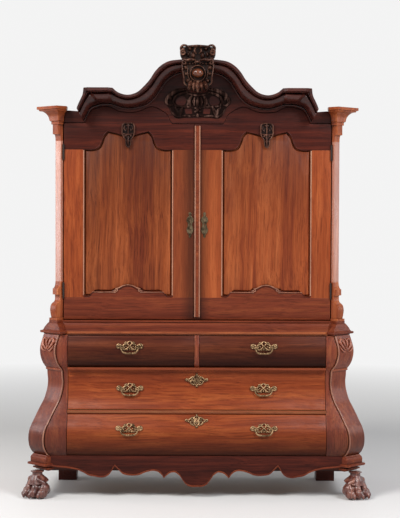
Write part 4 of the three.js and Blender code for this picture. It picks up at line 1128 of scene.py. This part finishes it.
def cornice():
    stations = [(*head_point(foot), *head_point(top))
                for foot, top in zip(CORNICE_FOOT_SHARES, CORNICE_TOP_SHARES)]
    first, last = CORNICE_BLOCK
    line = [*smoothed(stations[:first + 1], 5, 60), *smoothed(stations[last:], 5, 60)]
    right = [cornice_ring(place, CORNICE_PROJECTION) for place in line]
    left = [[(-x, y, z) for x, y, z in ring] for ring in reversed(right[:-1])]
    start = CORNICE_PROJECTION + CORNICE_BLOCK_STEP
    inset = CORNICE_BLOCK_PROJECTION - CORNICE_PROJECTION
    block = [[(x + shift * (-y - DOOR_FRONT) / lip, y - OVERLAP, z + OVERLAP)
              for x, y, z in cornice_ring(stations[station], lip)]
             for station, lip, shift in ((first, start, 0), (first, CORNICE_BLOCK_PROJECTION, -inset),
                                         (last, CORNICE_BLOCK_PROJECTION, inset), (last, start, 0))]
    forms = [loft([*right, *left]), *both([loft(block)])]
    dressed("cornice_moulding", as_mesh("cornice", forms), CORNICE, "case", ["cornice"], 28)


# The cresting, in X and the hang below its top
CREST_OUTLINE = [
    (0, 2), (52, 1), (64, 7), (97, 9), (99, 34), (95, 62), (88, 74), (90, 98), (86, 140), (79, 180),
    (76, 214), (62, 222), (54, 238), (44, 243), (33, 234), (24, 252), (11, 242), (0, 254),
]
CREST_BOARD = 20
CREST_BOARD_ROUND = 4
CREST_MIDDLE = [
    (circle(42, 32, (0, 152)), (4,), (25,), 1.4, 10, 1),
    ([(-54, 8), (0, 6), (54, 8)], (6, 7, 6), (26, 30, 26), 1.1),
    ([(-30, 96), (0, 90), (30, 96)], (3, 6, 3), (22, 28, 22), 1),
    ([(0, 190), (0, 222), (0, 253)], (7, 12, 12, 4), (24, 38, 26), 0.8),
    ([(0, 196), (0, 222), (0, 250)], (1.5, 3, 3, 1), (32, 47, 34), 1),
]
CREST_SIDE = [
    (80, 42, 18, 16, 19, 20),
    (volute(80, 42, 17, -110, 1.3), (5, 5, 3.5, 2), (38,), 1),
    ([(50, 15), (64, 5), (84, 6), (95, 18), (93, 32)], (4, 6, 7, 6, 4), (26, 34, 28), 1),
    ([(6, 14), (17, 22), (17, 38), (6, 48)], (3, 5, 5, 3), (24, 32, 26), 1),
    ([(8, 84), (34, 78), (60, 82), (86, 74)], (4, 7, 7, 4), (24, 34, 28), 1),
    (26, 56, 16, 13, 18, 16),
    (44, 20, 16, 12, 11, 16),
    (54, 50, 14, 9, 15, 14),
    *[(x, 99, 18, 6.5, 8, 9) for x in (12, 29, 46, 63)],
    (volute(74, 94, 12, -70, 1.2), (6, 5, 3), (28,), 1),
    (68, 121, 18, 13, 13, 13),
    (66, 154, 18, 10, 11, 11),
    (55, 190, 18, 11, 11, 11),
    ([(88, 92), (84, 137), (77, 175), (74, 205), (62, 217)], (3, 4.5, 4.5, 5, 3), (26, 30, 26), 1.2),
    ([(57, 108), (56, 138), (52, 168), (38, 196)], (2, 3, 3, 2), (22, 26, 22), 1),
    ([(15.4, 190), (20.9, 214), (22, 249)], (6, 11, 11, 4), (22, 35, 25), 0.8),
    ([(15.84, 196), (20.9, 214), (22, 246)], (1.5, 3, 3, 1), (30, 43, 32), 1),
    ([(32.2, 190), (43.7, 214), (46, 239)], (6, 11, 11, 4), (22, 35, 25), 0.8),
    ([(33.12, 196), (43.7, 214), (46, 236)], (1.5, 3, 3, 1), (30, 43, 32), 1),
]
CREST_GRAIN = 1.4
CREST_HANG = 254
BOSS_HANG = 152
BOSS_SUNK = 30
BOSS_SIZE = (31, 24, 29)


def hung(rows):
    """Rows of carving, with each hang turned into a height."""
    return [(row[0], CREST_TOP - row[1], *row[2:]) if np.isscalar(row[0])
            else ([(x, CREST_TOP - down) for x, down in row[0]], *row[1:]) for row in rows]


def cresting():
    outline = [(x, CREST_TOP - down) for x, down in mirror_closed(CREST_OUTLINE)]
    ground = board(smoothed(outline, 3, 60, closed=True), 0, CREST_BOARD, CREST_BOARD_ROUND)
    forms = [ground, *ornament(hung(CREST_MIDDLE)), *both(ornament(hung(CREST_SIDE)))]
    low, high = extent("cresting")
    low.z -= CREST_DROP
    mesh = fitted(carved("cresting", forms, CREST_GRAIN, 1, 0.5), low, high)
    dressed("cresting_carving", mesh, CREST, "case", ["cresting"])
    drop = (high.z - low.z) / CREST_HANG
    boss = ball(0, high.z - BOSS_HANG * drop, -low.y - BOSS_SUNK, *BOSS_SIZE, 28, 18)
    dressed("cresting_boss", as_mesh("boss", [boss]), BOSS, "case")


ARCH_OUTLINE = [
    (0, 2234), (50, 2240), (66, 2262), (112, 2254), (152, 2234), (182, 2200), (182, 2174), (164, 2154),
    (154, 2138), (124, 2094), (60, 2097), (0, 2098),
]
ARCH_WINDOWS = [
    [(70, 2170), (116, 2170), (122, 2190), (110, 2208), (74, 2212), (64, 2190)],
    [(30, 2118), (66, 2116), (72, 2146), (34, 2148)],
]
ARCH_GROUND = 2.6
ARCH_GROUND_ROUND = 0.8
ARCH_MIDDLE = [
    ([(0, 2158), (0, 2184), (0, 2212)], (5, 9, 4), (5, 13, 6), 0.9),
    (0, 2138, 4, 10, 10, 11),
    *[(x, z, 3, 7, 6, 8) for x in (-13, 13) for z in (2129, 2148)],
    (0, 2108, 4, 8, 13, 11),
    ([(-56, 2228), (0, 2218), (56, 2228)], (4, 6, 4), (4, 9, 4), 1),
]
ARCH_SIDE = [
    ([(62, 2252), (104, 2247), (142, 2229), (168, 2203), (173, 2180), (158, 2164), (138, 2166)],
     (5, 9, 12, 12, 10, 7, 4), (4, 10, 10, 6), 0.9),
    ([(56, 2236), (98, 2226), (128, 2204), (134, 2178), (116, 2160)], (4, 7, 7, 6, 4), (3, 8, 4), 0.9),
    ([(128, 2160), (98, 2158), (62, 2162), (54, 2178), (58, 2198)], (4, 6, 5, 5, 3), (3, 7, 4), 0.9),
    ([(40, 2156), (46, 2180), (40, 2204), (28, 2220)], (6, 10, 8, 3), (4, 11, 5), 0.9),
    ([(19, 2160), (22, 2184), (16, 2210)], (4, 8, 3), (4, 11, 5), 0.9),
    ([(100, 2100), (108, 2126), (124, 2154)], (6, 10, 4), (5, 11, 7), 0.9),
    ([(102, 2100), (94, 2130), (82, 2156)], (6, 10, 4), (5, 11, 7), 0.9),
    ([(108, 2100), (134, 2114), (152, 2146)], (4, 8, 3), (4, 9, 5), 0.9),
    ([(78, 2152), (52, 2155), (26, 2150)], (4, 6, 3), (3, 7, 3), 0.9),
    ([(94, 2104), (64, 2106), (38, 2103), (14, 2108)], (4, 6, 5, 3), (3, 7, 4), 0.9),
    (101, 2100, 4, 10, 7, 9),
    (150, 2204, 8, 8, 12, 9),
]


def rocaille():
    """Scrolls, leaves and a flower on a pierced ground, on the face under the arch."""
    outline = smoothed(mirror_closed(ARCH_OUTLINE), 3, 60, closed=True)
    holes = [smoothed([(side * x, z) for x, z in window], 3, 80, closed=True)
             for window in ARCH_WINDOWS for side in (-1, 1)]
    ground = board(outline, 0, ARCH_GROUND, ARCH_GROUND_ROUND, holes)
    forms = moved([ground, *ornament(ARCH_MIDDLE), *both(ornament(ARCH_SIDE))], y=-DOOR_FRONT)
    dressed("arch_rocaille", carved("rocaille", forms, CARVING_GRAIN, 1, 0.5), ARCH_CARVED, "case")


# Doors, drawn for the right-hand side

OPENING_FOOT = DOOR_FOOT + BOTTOM_RAIL_HEIGHT
OPENING_HEAD = SHOULDER + HEAD_HEIGHT * max(share[1] for share in DOOR_HEAD_SHARES) - DOOR_HEAD_MARGIN
OPENING_SHOULDER = OPENING_HEAD - PANEL_HEAD_HEIGHT
STRIP_BELOW_OPENING = 8
PANEL_X = (DOOR_OUTER_X - STILE_WIDTH + LOCK_STILE_WIDTH) / 2


def opening(grow, steps=4):
    """The panel opening, grown about its middle."""
    middle_z = (OPENING_FOOT + OPENING_HEAD) / 2
    half_width = (DOOR_OUTER_X - STILE_WIDTH - LOCK_STILE_WIDTH) / 2
    half_height = (OPENING_HEAD - OPENING_FOOT) / 2
    right = [*[(half_width * x, PANEL_FOOT_HEIGHT * up - half_height) for x, up in PANEL_FOOT_SHARES],
             *[(half_width * x, half_height - PANEL_HEAD_HEIGHT * (1 - up)) for x, up in PANEL_HEAD_SHARES]]
    wide, tall = (half_width + grow) / half_width, (half_height + grow) / half_height
    return [(PANEL_X + x * wide, middle_z + z * tall)
            for x, z in smoothed(mirror_closed(right), steps, 50, closed=True)]


def mortised(outline, catches):
    """A lock stile with the slot for the bolt, as deep as the bolt comes where the stile only catches it."""
    low, high = extent("lock_bolt")
    inner_x = outline[0][0]
    depth_x = BOLT_THROW - low.x if catches else high.x
    slot = [(inner_x, high.z + BOLT_GAP), (depth_x + BOLT_GAP, high.z + BOLT_GAP),
            (depth_x + BOLT_GAP, low.z - BOLT_GAP), (inner_x, low.z - BOLT_GAP)]
    back, front = DOOR_THICKNESS - DOOR_FRONT, -DOOR_FRONT
    behind, before = high.y + BOLT_GAP, low.y - BOLT_GAP
    return [board(outline, back, back - behind, 0), board([*outline, *slot], behind, behind - before, 0),
            board(outline, before, before - front, 0)]


FRAME_ROUND = 1
EDGE_SLACK = 1
OPENING_BEAD = 2.6
OPENING_BEAD_GROW = 2.5
OPENING_BEAD_SUNK = 0.5
EDGE_BEAD = 3.4
EDGE_BEAD_OUTSET = 1.5
EDGE_BEAD_ABOVE_JOINT = 12
EDGE_BEAD_BELOW_TOP = 3


def door_frame(name, inner_x, body, flip):
    """Two stiles, a shaped top rail, a bottom rail, and the scalloped strip at the opening's foot."""

    def fix(part, forms, look, nodes=()):
        mesh = as_mesh(part, forms)
        dressed(f"{name}_{part}", other_hand(mesh) if flip else mesh, look, body, nodes)

    head = head_line(DOOR_HEAD_SHARES)
    edge = [tuple(point) for point in opening(0)]
    head_edge = sorted(point for point in edge if point[1] > OPENING_SHOULDER - EDGE_SLACK)
    foot_edge = sorted(point for point in edge if point[1] < OPENING_FOOT + PANEL_FOOT_HEIGHT + EDGE_SLACK)
    low_x, high_x = head_edge[0][0], head_edge[-1][0]
    top, joint = OPENING_SHOULDER, OPENING_FOOT - STRIP_BELOW_OPENING
    stile_look, rail_look = MEETING_LOOKS[body]
    inner_stile = [(inner_x, joint), (low_x, joint), (low_x, top), (inner_x, top)]
    outer_stile = [(high_x, joint), (DOOR_OUTER_X, joint), (DOOR_OUTER_X, top), (high_x, top)]
    top_rail = [(inner_x, top), *head_edge, (DOOR_OUTER_X, top), (DOOR_OUTER_X, SHOULDER), *head,
                (inner_x, head[-1][1])]
    strip = [(low_x, joint), (high_x, joint), *reversed(foot_edge)]
    bottom_rail = [(inner_x, DOOR_FOOT), (DOOR_OUTER_X, DOOR_FOOT), (DOOR_OUTER_X, joint), (inner_x, joint)]

    def plain(outline):
        return [board(outline, DOOR_THICKNESS - DOOR_FRONT, DOOR_THICKNESS, FRAME_ROUND)]

    fix("top_rail", plain(top_rail), RAIL)
    fix("inner_stile", mortised(inner_stile, body == "leaf_left"), stile_look)
    fix("outer_stile", plain(outer_stile), UPRIGHT, [name])
    fix("scalloped_strip", plain(strip), LEVEL)
    fix("bottom_rail", plain(bottom_rail), rail_look)
    line = opening(OPENING_BEAD_GROW)
    bead = strand([*line, line[0]], (OPENING_BEAD,), (DOOR_FRONT - OPENING_BEAD_SUNK,), 0.9, 10, 1)
    fix("opening_bead", [bead], RAIL)
    edges = [strand([(x, joint + EDGE_BEAD_ABOVE_JOINT), (x, top - EDGE_BEAD_BELOW_TOP)], (EDGE_BEAD,),
                    (DOOR_FRONT,), 0.9, 10, 1)
             for x in (low_x - EDGE_BEAD_OUTSET, high_x + EDGE_BEAD_OUTSET)]
    fix("edge_beads", edges, EDGE)


def door_panels():
    back = PANEL_LIP + SEAT_GAP + PANEL_THICKNESS - DOOR_FRONT
    mesh = as_mesh("door_panel", [loft([[(x, back - out, z) for x, z in opening(grow)]
                                        for grow, out in PANEL_PROFILE])])
    copy = other_hand(mesh)
    dressed("door_panel_right_piece", mesh, PANEL, "leaf_right", ["door_panel_right"])
    dressed("door_panel_left_piece", copy, PANEL_LEFT, "leaf_left", ["door_panel_left"])


CARTOUCHE_RIM = [
    (0, 2064), (22, 2064), (32, 2054), (34, 2030), (33, 2005), (26, 1988), (16, 1975), (14, 1958),
    (12, 1944), (6, 1934), (0, 1930),
]
CARTOUCHE_MIDDLE = [
    ([(-31, 2006), (0, 2001), (31, 2006)], (3.5, 5, 3.5), (6, 10, 6), 1.1),
    ([(0, 2060), (0, 2030), (0, 2002)], (3.5, 4, 4), (6, 9, 7), 1),
    ([(0, 1996), (0, 1965), (0, 1936)], (4, 5, 3.5), (5, 9, 5), 1),
]
CARTOUCHE_SIDE = [
    (CARTOUCHE_RIM, (4, 4.5, 4.5, 4, 3.5, 3.5, 3), (6, 10, 6), 1.2),
    ([(27, 1990), (14, 1996), (4, 1980)], (3, 4, 2), (5, 9, 5), 1),
    ([(20, 2050), (24, 2034), (14, 2022), (10, 2036)], (3, 3.5, 3, 2), (5, 8, 5), 1),
    (8, 2052, 4, 6, 6, 7),
    (8, 1966, 3, 4, 6, 6),
]
CARTOUCHE_BACK = 1
CARTOUCHE_GROUND = 2.4
CARTOUCHE_ROUND = 0.5
CARTOUCHE_GRAIN = 1.1


def cartouche():
    edge = CARTOUCHE_RIM[1:-1]
    ground = board([*edge, *[(-x, z) for x, z in reversed(edge)]], CARTOUCHE_BACK, CARTOUCHE_GROUND,
                   CARTOUCHE_ROUND)
    forms = moved([*ornament(CARTOUCHE_MIDDLE), ground, *both(ornament(CARTOUCHE_SIDE))], PANEL_X,
                  -DOOR_FRONT)
    pair("door_cartouche", carved("cartouche", forms, CARTOUCHE_GRAIN, 1, 0.6), CARVED,
         ("leaf_right", "leaf_left"), "")


FOOT_SCROLLS = [
    ([*reversed(volute(65, 0, 9, 60, 1.1)), (50, 14), (26, 26), (0, 31)], (1.8, 2.8, 2.8, 1.8), (3,), 1.1),
    ([*reversed(volute(71, -4, 8, 250, 1)), (100, -10), (150, -11), (200, -9)], (1.8, 2.8, 2.2, 1.2), (3,),
     1.1),
]
FOOT_SCROLL_RISE = 32


def panel_foot_scrolls():
    forms = moved(both(ornament(FOOT_SCROLLS)), PANEL_X, -DOOR_FRONT, OPENING_FOOT + FOOT_SCROLL_RISE)
    pair("panel_foot_scroll", as_mesh("scroll", forms), EDGE, ("leaf_right", "leaf_left"), "")


# The strip's plan: share of its half width, share of its depth
ASTRAGAL_SHARES = [(0, 0.5), (0.3, 0.52), (0.5, 0.6), (0.62, 0.5), (1, 0.4), (1, 0)]
ASTRAGAL_BEAD_SHARE = 0.22
ASTRAGAL_BEAD_SIDES = 12


def astragal():
    """The strip that closes the doors: a hollow board with a bead along each edge."""
    low, high = extent("astragal")
    half = (high.x - low.x) / 2
    middle = (high.x + low.x) / 2
    depth = high.y - low.y
    line = smoothed([(half * x, depth * out) for x, out in ASTRAGAL_SHARES], 3, 50)
    plan = [(middle + x, high.y - out) for x, out in [*[(-x, out) for x, out in reversed(line[1:])], *line]]
    board_mesh = as_mesh("astragal", [stack([(low.z, plan), (high.z, plan)])])
    dressed("astragal_board", board_mesh, LEVEL, "leaf_right", ["astragal"])
    radius = ASTRAGAL_BEAD_SHARE * half
    rings = [circle(radius, ASTRAGAL_BEAD_SIDES, (middle + side * (half - radius), low.y + radius))[:-1]
             for side in (-1, 1)]
    beads = as_mesh("astragal_beads", [stack([(low.z, ring), (high.z, ring)]) for ring in rings])
    dressed("astragal_beads", beads, EDGE, "leaf_right")


# Metalwork

def symmetric(shares, half_width, half_height, steps=5, sharpest=80):
    right = [(half_width * x, half_height * z) for x, z in shares]
    return smoothed(mirror_closed(right), steps, sharpest, closed=True)


def on_front(z, x):
    """The place and lean of a plate on the swelling front."""
    low, high = z - PLATE_HALF_HEIGHT, z + PLATE_HALF_HEIGHT
    low_swell, high_swell = swell_at(low), swell_at(high)
    crown = max(swell_at(at) - np.interp(at, (low, high), (low_swell, high_swell))
                for at in levels(low, high))
    lean = math.atan2(low_swell - high_swell, high - low)
    place = (x, -CHEST_FRONT - (low_swell + high_swell) / 2 - crown - SEAT_GAP, z)
    return Matrix.Translation(place) @ Matrix.Rotation(-lean, 4, "X")


def stud(profile, x):
    """A stud turned about an axis that stands out of the plane y = 0."""
    points, faces = turned(profile)
    return [(across + x, -height, up) for across, up, height in points], faces


PLATE_MIDDLE = [
    (circle(11, 24, (0, 23)), (3.4,), (3,), 1, 8, 1),
    (0, 8, 1, 8, 8, 8),
    (0, -8, 1, 5, 9, 6),
]
PLATE_SIDE = [
    ([(4, 12), (14, 21), (27, 18), (38, 9), (50, 13), (60, 18), (69, 12), (69, 1), (61, -4), (55, 3)],
     (3, 4.4, 4.8, 4.4, 5, 5.2, 4, 2.4), (2.6, 5, 3), 0.9),
    ([(5, 4), (15, -6), (27, -11), (40, -8), (52, -3), (64, 0)], (3.4, 4.6, 4.8, 4, 3), (3,), 0.9),
    ([(10, 22), (19, 30), (28, 26), (26, 16)], (2.4, 3.4, 3, 1.8), (3,), 0.9),
    (61, 8, 1, 9, 8, 8),
    (49, 3, 1, 7, 6, 7),
    (21, 6, 1, 6, 6, 7),
    (13, -11, 1, 6, 6, 6),
    (33, -2, 1, 6, 4, 5),
    (EYE_X, 0, 0, 9, 9, 4),
]
KNOB_PROFILE = [(8, 0), (8, 4), (4, 6), (4, 9), (6, 12), (6, 15), (4.5, 16.6), (1, 17)]


def plate_forms():
    """An openwork back plate: a ring over a knot, with scrolled wings, and the posts for its bail."""
    return [*ornament(PLATE_MIDDLE), *both([*ornament(PLATE_SIDE), stud(KNOB_PROFILE, EYE_X)])]


KEYHOLE_OVAL = circle(8.5, 24, (0, 2), 20)[:-1]
KEYHOLE_OVAL_THICKNESS = 2
KEYHOLE_OVAL_ROUND = 0.6
KEYHOLE_MIDDLE = [(0, 34, 1, 6, 8, 7), (0, -32, 1, 8, 7, 7)]
KEYHOLE_SIDE = [
    ([(0, 27), (10, 25), (14, 13), (10, 2), (13, -10), (9, -21), (0, -26)], (3, 4, 4, 3.6, 4, 4, 3), (3,),
     0.9),
    ([(12, 12), (22, 21), (34, 14), (46, 5), (57, 11), (62, 4), (54, -2)], (3.4, 4.8, 4.6, 4, 3.6, 2.4),
     (2.6, 4, 2.6), 0.9),
    ([(12, -6), (23, 1), (36, -5), (29, -17), (12, -24)], (3.4, 4.4, 4.4, 3.8, 2.6), (2.6, 4, 2.6), 0.9),
    (24, 8, 1, 7, 6, 7),
    (44, -2, 1, 7, 5, 5),
    (20, -11, 1, 5, 5, 6),
]


def keyhole_forms():
    """An openwork keyhole plate with a finial, two wings and a drop."""
    keyhole = symmetric(KEYHOLE_SHARES, KEYHOLE_HALF_WIDTH, KEYHOLE_HALF_HEIGHT)
    ground = board(KEYHOLE_OVAL, 0, KEYHOLE_OVAL_THICKNESS, KEYHOLE_OVAL_ROUND, [keyhole])
    return [ground, *ornament(KEYHOLE_MIDDLE), *both(ornament(KEYHOLE_SIDE))]


BAIL_THICKEST = 6
BAIL_END_GAP = 1
BAIL_SCROLL_HALF_WIDTH = BAIL_HALF_WIDTH + BAIL_RADIUS - BAIL_THICKEST * 0.75
BAIL_SCROLL_DROP = BAIL_DROP + BAIL_RADIUS - BAIL_THICKEST
BAIL_WIDTHS = (2.4, 3, 3.8, 5.4, BAIL_THICKEST, 4.4, 5.8)
BAIL_PIVOT = PLATE_THICKNESS + BAIL_REACH
BAIL_KNOBS = [
    *[(x, -BAIL_SCROLL_DROP, BAIL_PIVOT, 3.4, 6, 5.4) for x in (-10, 10)],
    (0, 1 - BAIL_SCROLL_DROP, BAIL_PIVOT, 7, 7, 6.2),
]


def bail_forms():
    """A bail drawn as leafy scrolls that meet in a knob at its middle."""
    half = [(EYE_X + EYE_RADIUS + BAIL_END_GAP, 0),
            *[(BAIL_SCROLL_HALF_WIDTH * x, BAIL_SCROLL_DROP * z) for x, z in BAIL_SHARES]]
    path = [*half, *[(-x, z) for x, z in reversed(half[:-1])]]
    widths = [*BAIL_WIDTHS, *reversed(BAIL_WIDTHS[:-1])]
    return [strand(path, widths, (BAIL_PIVOT,), 0.62, 14, 6), *ornament(BAIL_KNOBS)]


# Handles: the front that a row is measured on, their share of its height, and the bodies of the two drawers
HANDLE_ROWS = {
    "bottom": ("drawer_front_bottom", 0.64, "drawer_low", "drawer_low"),
    "middle": ("drawer_front_middle", 0.49, "drawer_mid", "drawer_mid"),
    "top": ("drawer_front_top_right", 0.63, "drawer_upper_right", "drawer_upper_left"),
}


def handles():
    for row, (front, share, *carriers) in HANDLE_ROWS.items():
        low, high = extent(front)
        z = low.z + (high.z - low.z) * share
        for side, x, carrier in zip(("right", "left"), (HANDLE_X, -HANDLE_X), carriers):
            matrix = on_front(z, x)
            plate = as_mesh("plate", [placed(form, matrix) for form in plate_forms()])
            dressed(f"handle_{row}_{side}_plate", plate, BRASS, carrier, [f"handle_plate_{row}_{side}"])
            bail = as_mesh("bail", [placed(form, matrix) for form in bail_forms()])
            dressed(f"handle_{row}_{side}_bail", bail, BRASS, f"pull_{row}_{side}", [f"bail_{row}_{side}"])


DRAWER_KEYHOLES = [("middle", 641, "drawer_mid"), ("bottom", 424, "drawer_low")]


def drawer_escutcheons():
    for name, z, body in DRAWER_KEYHOLES:
        matrix = on_front(z, 0)
        mesh = as_mesh("escutcheon", [placed(form, matrix) for form in keyhole_forms()])
        dressed(f"drawer_escutcheon_{name}", mesh, BRASS, body)


DOOR_PLATE_ROUND = 0.7
DOOR_PLATE_SIDE = [
    ([(1, 68), (6, 62), (4, 52), (13, 40), (17, 24), (10, 12)], (0.8, 1.8, 2, 1), (2.5,), 1),
    ([(10, 6), (12, -10), (17, -26), (12, -42), (6, -52), (1, -68)], (0.8, 1.8, 2, 0.8), (2.5,), 1),
    (volute(9, 30, 5, 90, 1, -1), (1.6, 1), (2.5,), 1),
    (volute(10, -30, 5, 270, 1), (1.6, 1), (2.5,), 1),
]
DOOR_PLATE_MIDDLE = [
    (0, 46, 2, 4, 8, 3), (0, -46, 2, 4, 8, 3), (0, 22, 2, 4, 4, 2.5), (0, -22, 2, 4, 5, 2.5),
]


def door_escutcheons():
    outline = symmetric(DOOR_PLATE_SHARES, DOOR_PLATE_HALF_WIDTH, DOOR_PLATE_HALF_HEIGHT)
    keyhole = symmetric(KEYHOLE_SHARES, KEYHOLE_HALF_WIDTH, KEYHOLE_HALF_HEIGHT)
    ground = board(outline, 0, DOOR_PLATE_THICKNESS, DOOR_PLATE_ROUND, [keyhole])
    forms = moved([ground, *both(ornament(DOOR_PLATE_SIDE)), *ornament(DOOR_PLATE_MIDDLE)], DOOR_PLATE_X,
                  -DOOR_FRONT - SEAT_GAP, LOCK_Z)
    pair("door_escutcheon", as_mesh("escutcheon", forms), DARK_BRASS, ("leaf_right", "leaf_left"))


PIN_TIP = 1
PIN_FINIAL = [(0.8, 1), (1, 4), (0.7, 7), (1, 9)]  # share of its radius, height above its end
PIN_JOINT_HALF_HEIGHT = 0.6
PIN_JOINT_DEPTH = 0.5


def hinges():
    """Pins with a finial at each end, and a joint at the middle."""
    for place in ("lower", "upper"):
        low, high = extent(f"hinge_pin_{place}_right")
        radius = (high.x - low.x) / 2
        tall = high.z - low.z
        foot = [(PIN_TIP, 0), *[(radius * share, up) for share, up in PIN_FINIAL],
                (radius, tall / 2 - PIN_JOINT_HALF_HEIGHT)]
        profile = [*foot, (radius - PIN_JOINT_DEPTH, tall / 2),
                   *[(out, tall - up) for out, up in reversed(foot)]]
        forms = moved([turned(profile)], (low.x + high.x) / 2, (low.y + high.y) / 2, low.z)
        pair(f"hinge_pin_{place}", as_mesh("pin", forms), IRON, ("leaf_right", "leaf_left"))


# Boards that the frame already shapes

BOARD_ROUND = 1.2
BOARD_FINISHES = [
    (OAK, ["chest_back", "chest_bottom", "drawer_rail_lower", "drawer_rail_upper", "cabinet_back",
           "cabinet_bottom", "cabinet_top", "shelf_1", "shelf_2", "drawer_box_bottom", "drawer_box_middle",
           "drawer_box_top_left", "drawer_box_top_right"]),
    (UPRIGHT, ["cabinet_side_left", "cabinet_side_right"]),
    (DARK, ["rear_foot_left", "rear_foot_right"]),
    (IRON, ["lock_bolt"]),
]


def finish_frame_boards():
    for look, names in BOARD_FINISHES:
        for name in names:
            node = frame["nodes"][name]
            for slot in node.material_slots:
                slot.material = look
            bevel = node.modifiers.new("soft_edges", "BEVEL")
            bevel.width = BOARD_ROUND * MM
            bevel.segments = 2
            bevel.limit_method = "ANGLE"


# Studio

# In metres and degrees
PALE = (0.9, 0.9, 0.9, 1)
WHITE = (1, 1, 1, 1)
LIGHT_STRENGTH = 0.21
FLOOR_TONE = (0.78, 0.78, 0.78, 1)
FLOOR_RADIUS = 60
FLOOR_SIDES = 64
FLOOR_FADE = (2.5, 7)
CAMERA_PLACE = (0, -8.25, 1.578)
CAMERA_PITCH = 1.875
CAMERA_YAW = 0.106
CAMERA_ROLL = 0.21
CAMERA_LENS = 101.2
CAMERA_REACH = 200
LAMP_TARGET = (0, 0, 1.2)
LAMPS = [  # name, place, side length, power and colour
    ("key", (-3.4, -3.7, 5.1), 2.2, 330, (1, 0.97, 0.93)),
    ("fill", (3.6, -3.9, 4.5), 2.2, 235, (0.97, 0.98, 1)),
    ("left_side", (-3.3, 0.05, 1.6), 1.2, 27, (0.97, 0.97, 1)),
    ("right_side", (3.3, 0.05, 1.6), 1.2, 14, (0.97, 0.97, 1)),
]


def backdrop_rays(tree):
    """1 for rays that should see the backdrop itself, and 0 for rays that carry light."""
    rays = tree.nodes.new("ShaderNodeLightPath")
    most = rays.outputs["Is Camera Ray"]
    for name in ("Is Glossy Ray", "Is Transmission Ray"):
        larger = tree.nodes.new("ShaderNodeMath")
        larger.operation = "MAXIMUM"
        tree.links.new(most, larger.inputs[0])
        tree.links.new(rays.outputs[name], larger.inputs[1])
        most = larger.outputs[0]
    return most


def world():
    lit = bpy.data.worlds.new("studio")
    lit.use_nodes = True
    tree = lit.node_tree
    light = tree.nodes["Background"]
    light.inputs["Color"].default_value = WHITE
    light.inputs["Strength"].default_value = LIGHT_STRENGTH
    seen = tree.nodes.new("ShaderNodeBackground")
    seen.inputs["Color"].default_value = PALE
    mix = tree.nodes.new("ShaderNodeMixShader")
    tree.links.new(backdrop_rays(tree), mix.inputs[0])
    tree.links.new(light.outputs[0], mix.inputs[1])
    tree.links.new(seen.outputs[0], mix.inputs[2])
    tree.links.new(mix.outputs[0], tree.nodes["World Output"].inputs["Surface"])
    bpy.context.scene.world = lit


def floor():
    tree = Tree("floor", "")
    place = tree.add("NewGeometry").outputs["Position"]
    distance = tree.add("VectorMath", {0: place}, operation="LENGTH").outputs["Value"]
    far = tree.spread(distance, *FLOOR_FADE)
    tree.fill(tree.shader, {"Base Color": FLOOR_TONE, "Roughness": 0.6, "Specular IOR Level": 0.2})
    glow = tree.add("Emission", {"Color": PALE, "Strength": 1})
    share = tree.math("MULTIPLY", far, backdrop_rays(tree.material.node_tree))
    mix = tree.add("MixShader", {0: share, 1: tree.shader.outputs[0], 2: glow.outputs[0]})
    tree.links.new(mix.outputs[0], tree.nodes["Material Output"].inputs["Surface"])
    mesh = bpy.data.meshes.new("floor")
    rim = [(x, y, 0) for x, y in circle(FLOOR_RADIUS, FLOOR_SIDES)[:-1]]
    mesh.from_pydata(rim, [], [tuple(range(len(rim)))])
    mesh.materials.append(tree.material)
    ground = bpy.data.objects.new("floor", mesh)
    bpy.context.collection.objects.link(ground)


def lamp(name, place, size, power, color):
    light = bpy.data.lights.new(name, "AREA")
    light.shape = "SQUARE"
    light.size = size
    light.energy = power
    light.color = color
    holder = bpy.data.objects.new(name, light)
    bpy.context.collection.objects.link(holder)
    target = Matrix.Translation(LAMP_TARGET).to_translation()
    holder.location = place
    holder.visible_camera = False
    holder.rotation_euler = (target - holder.location).to_track_quat("-Z", "Y").to_euler()


def camera():
    eye = bpy.data.cameras.new("camera")
    eye.lens = CAMERA_LENS
    eye.clip_end = CAMERA_REACH
    holder = bpy.data.objects.new("camera", eye)
    bpy.context.collection.objects.link(holder)
    holder.location = CAMERA_PLACE
    angles = (90 - CAMERA_PITCH, -CAMERA_ROLL, -CAMERA_YAW)
    holder.rotation_euler = [math.radians(angle) for angle in angles]
    bpy.context.scene.camera = holder


def studio():
    world()
    floor()
    for values in LAMPS:
        lamp(*values)
    camera()
    bpy.context.scene.view_settings.view_transform = "Standard"


corner_posts()
post_mouldings()
post_carving()
chest_sides()
drawer_front("drawer_bottom_front", "drawer_front_bottom", "drawer_low")
drawer_front("drawer_middle_front", "drawer_front_middle", "drawer_mid")
drawer_front("drawer_top_right_front", "drawer_front_top_right", "drawer_upper_right")
drawer_front("drawer_top_left_front", "drawer_front_top_left", "drawer_upper_left")
drawer_rail("drawer_rail_lower")
drawer_rail("drawer_rail_upper")
drawer_divider()
waist()
plinth()
apron()
feet()
pilasters()
pediment()
cornice()
cresting()
rocaille()
door_frame("door_right_frame", RIGHT_DOOR_INNER_X, "leaf_right", False)
door_frame("door_left_frame", LEFT_DOOR_INNER_X, "leaf_left", True)
door_panels()
cartouche()
panel_foot_scrolls()
astragal()
handles()
drawer_escutcheons()
door_escutcheons()
hinges()
finish_frame_boards()
studio()
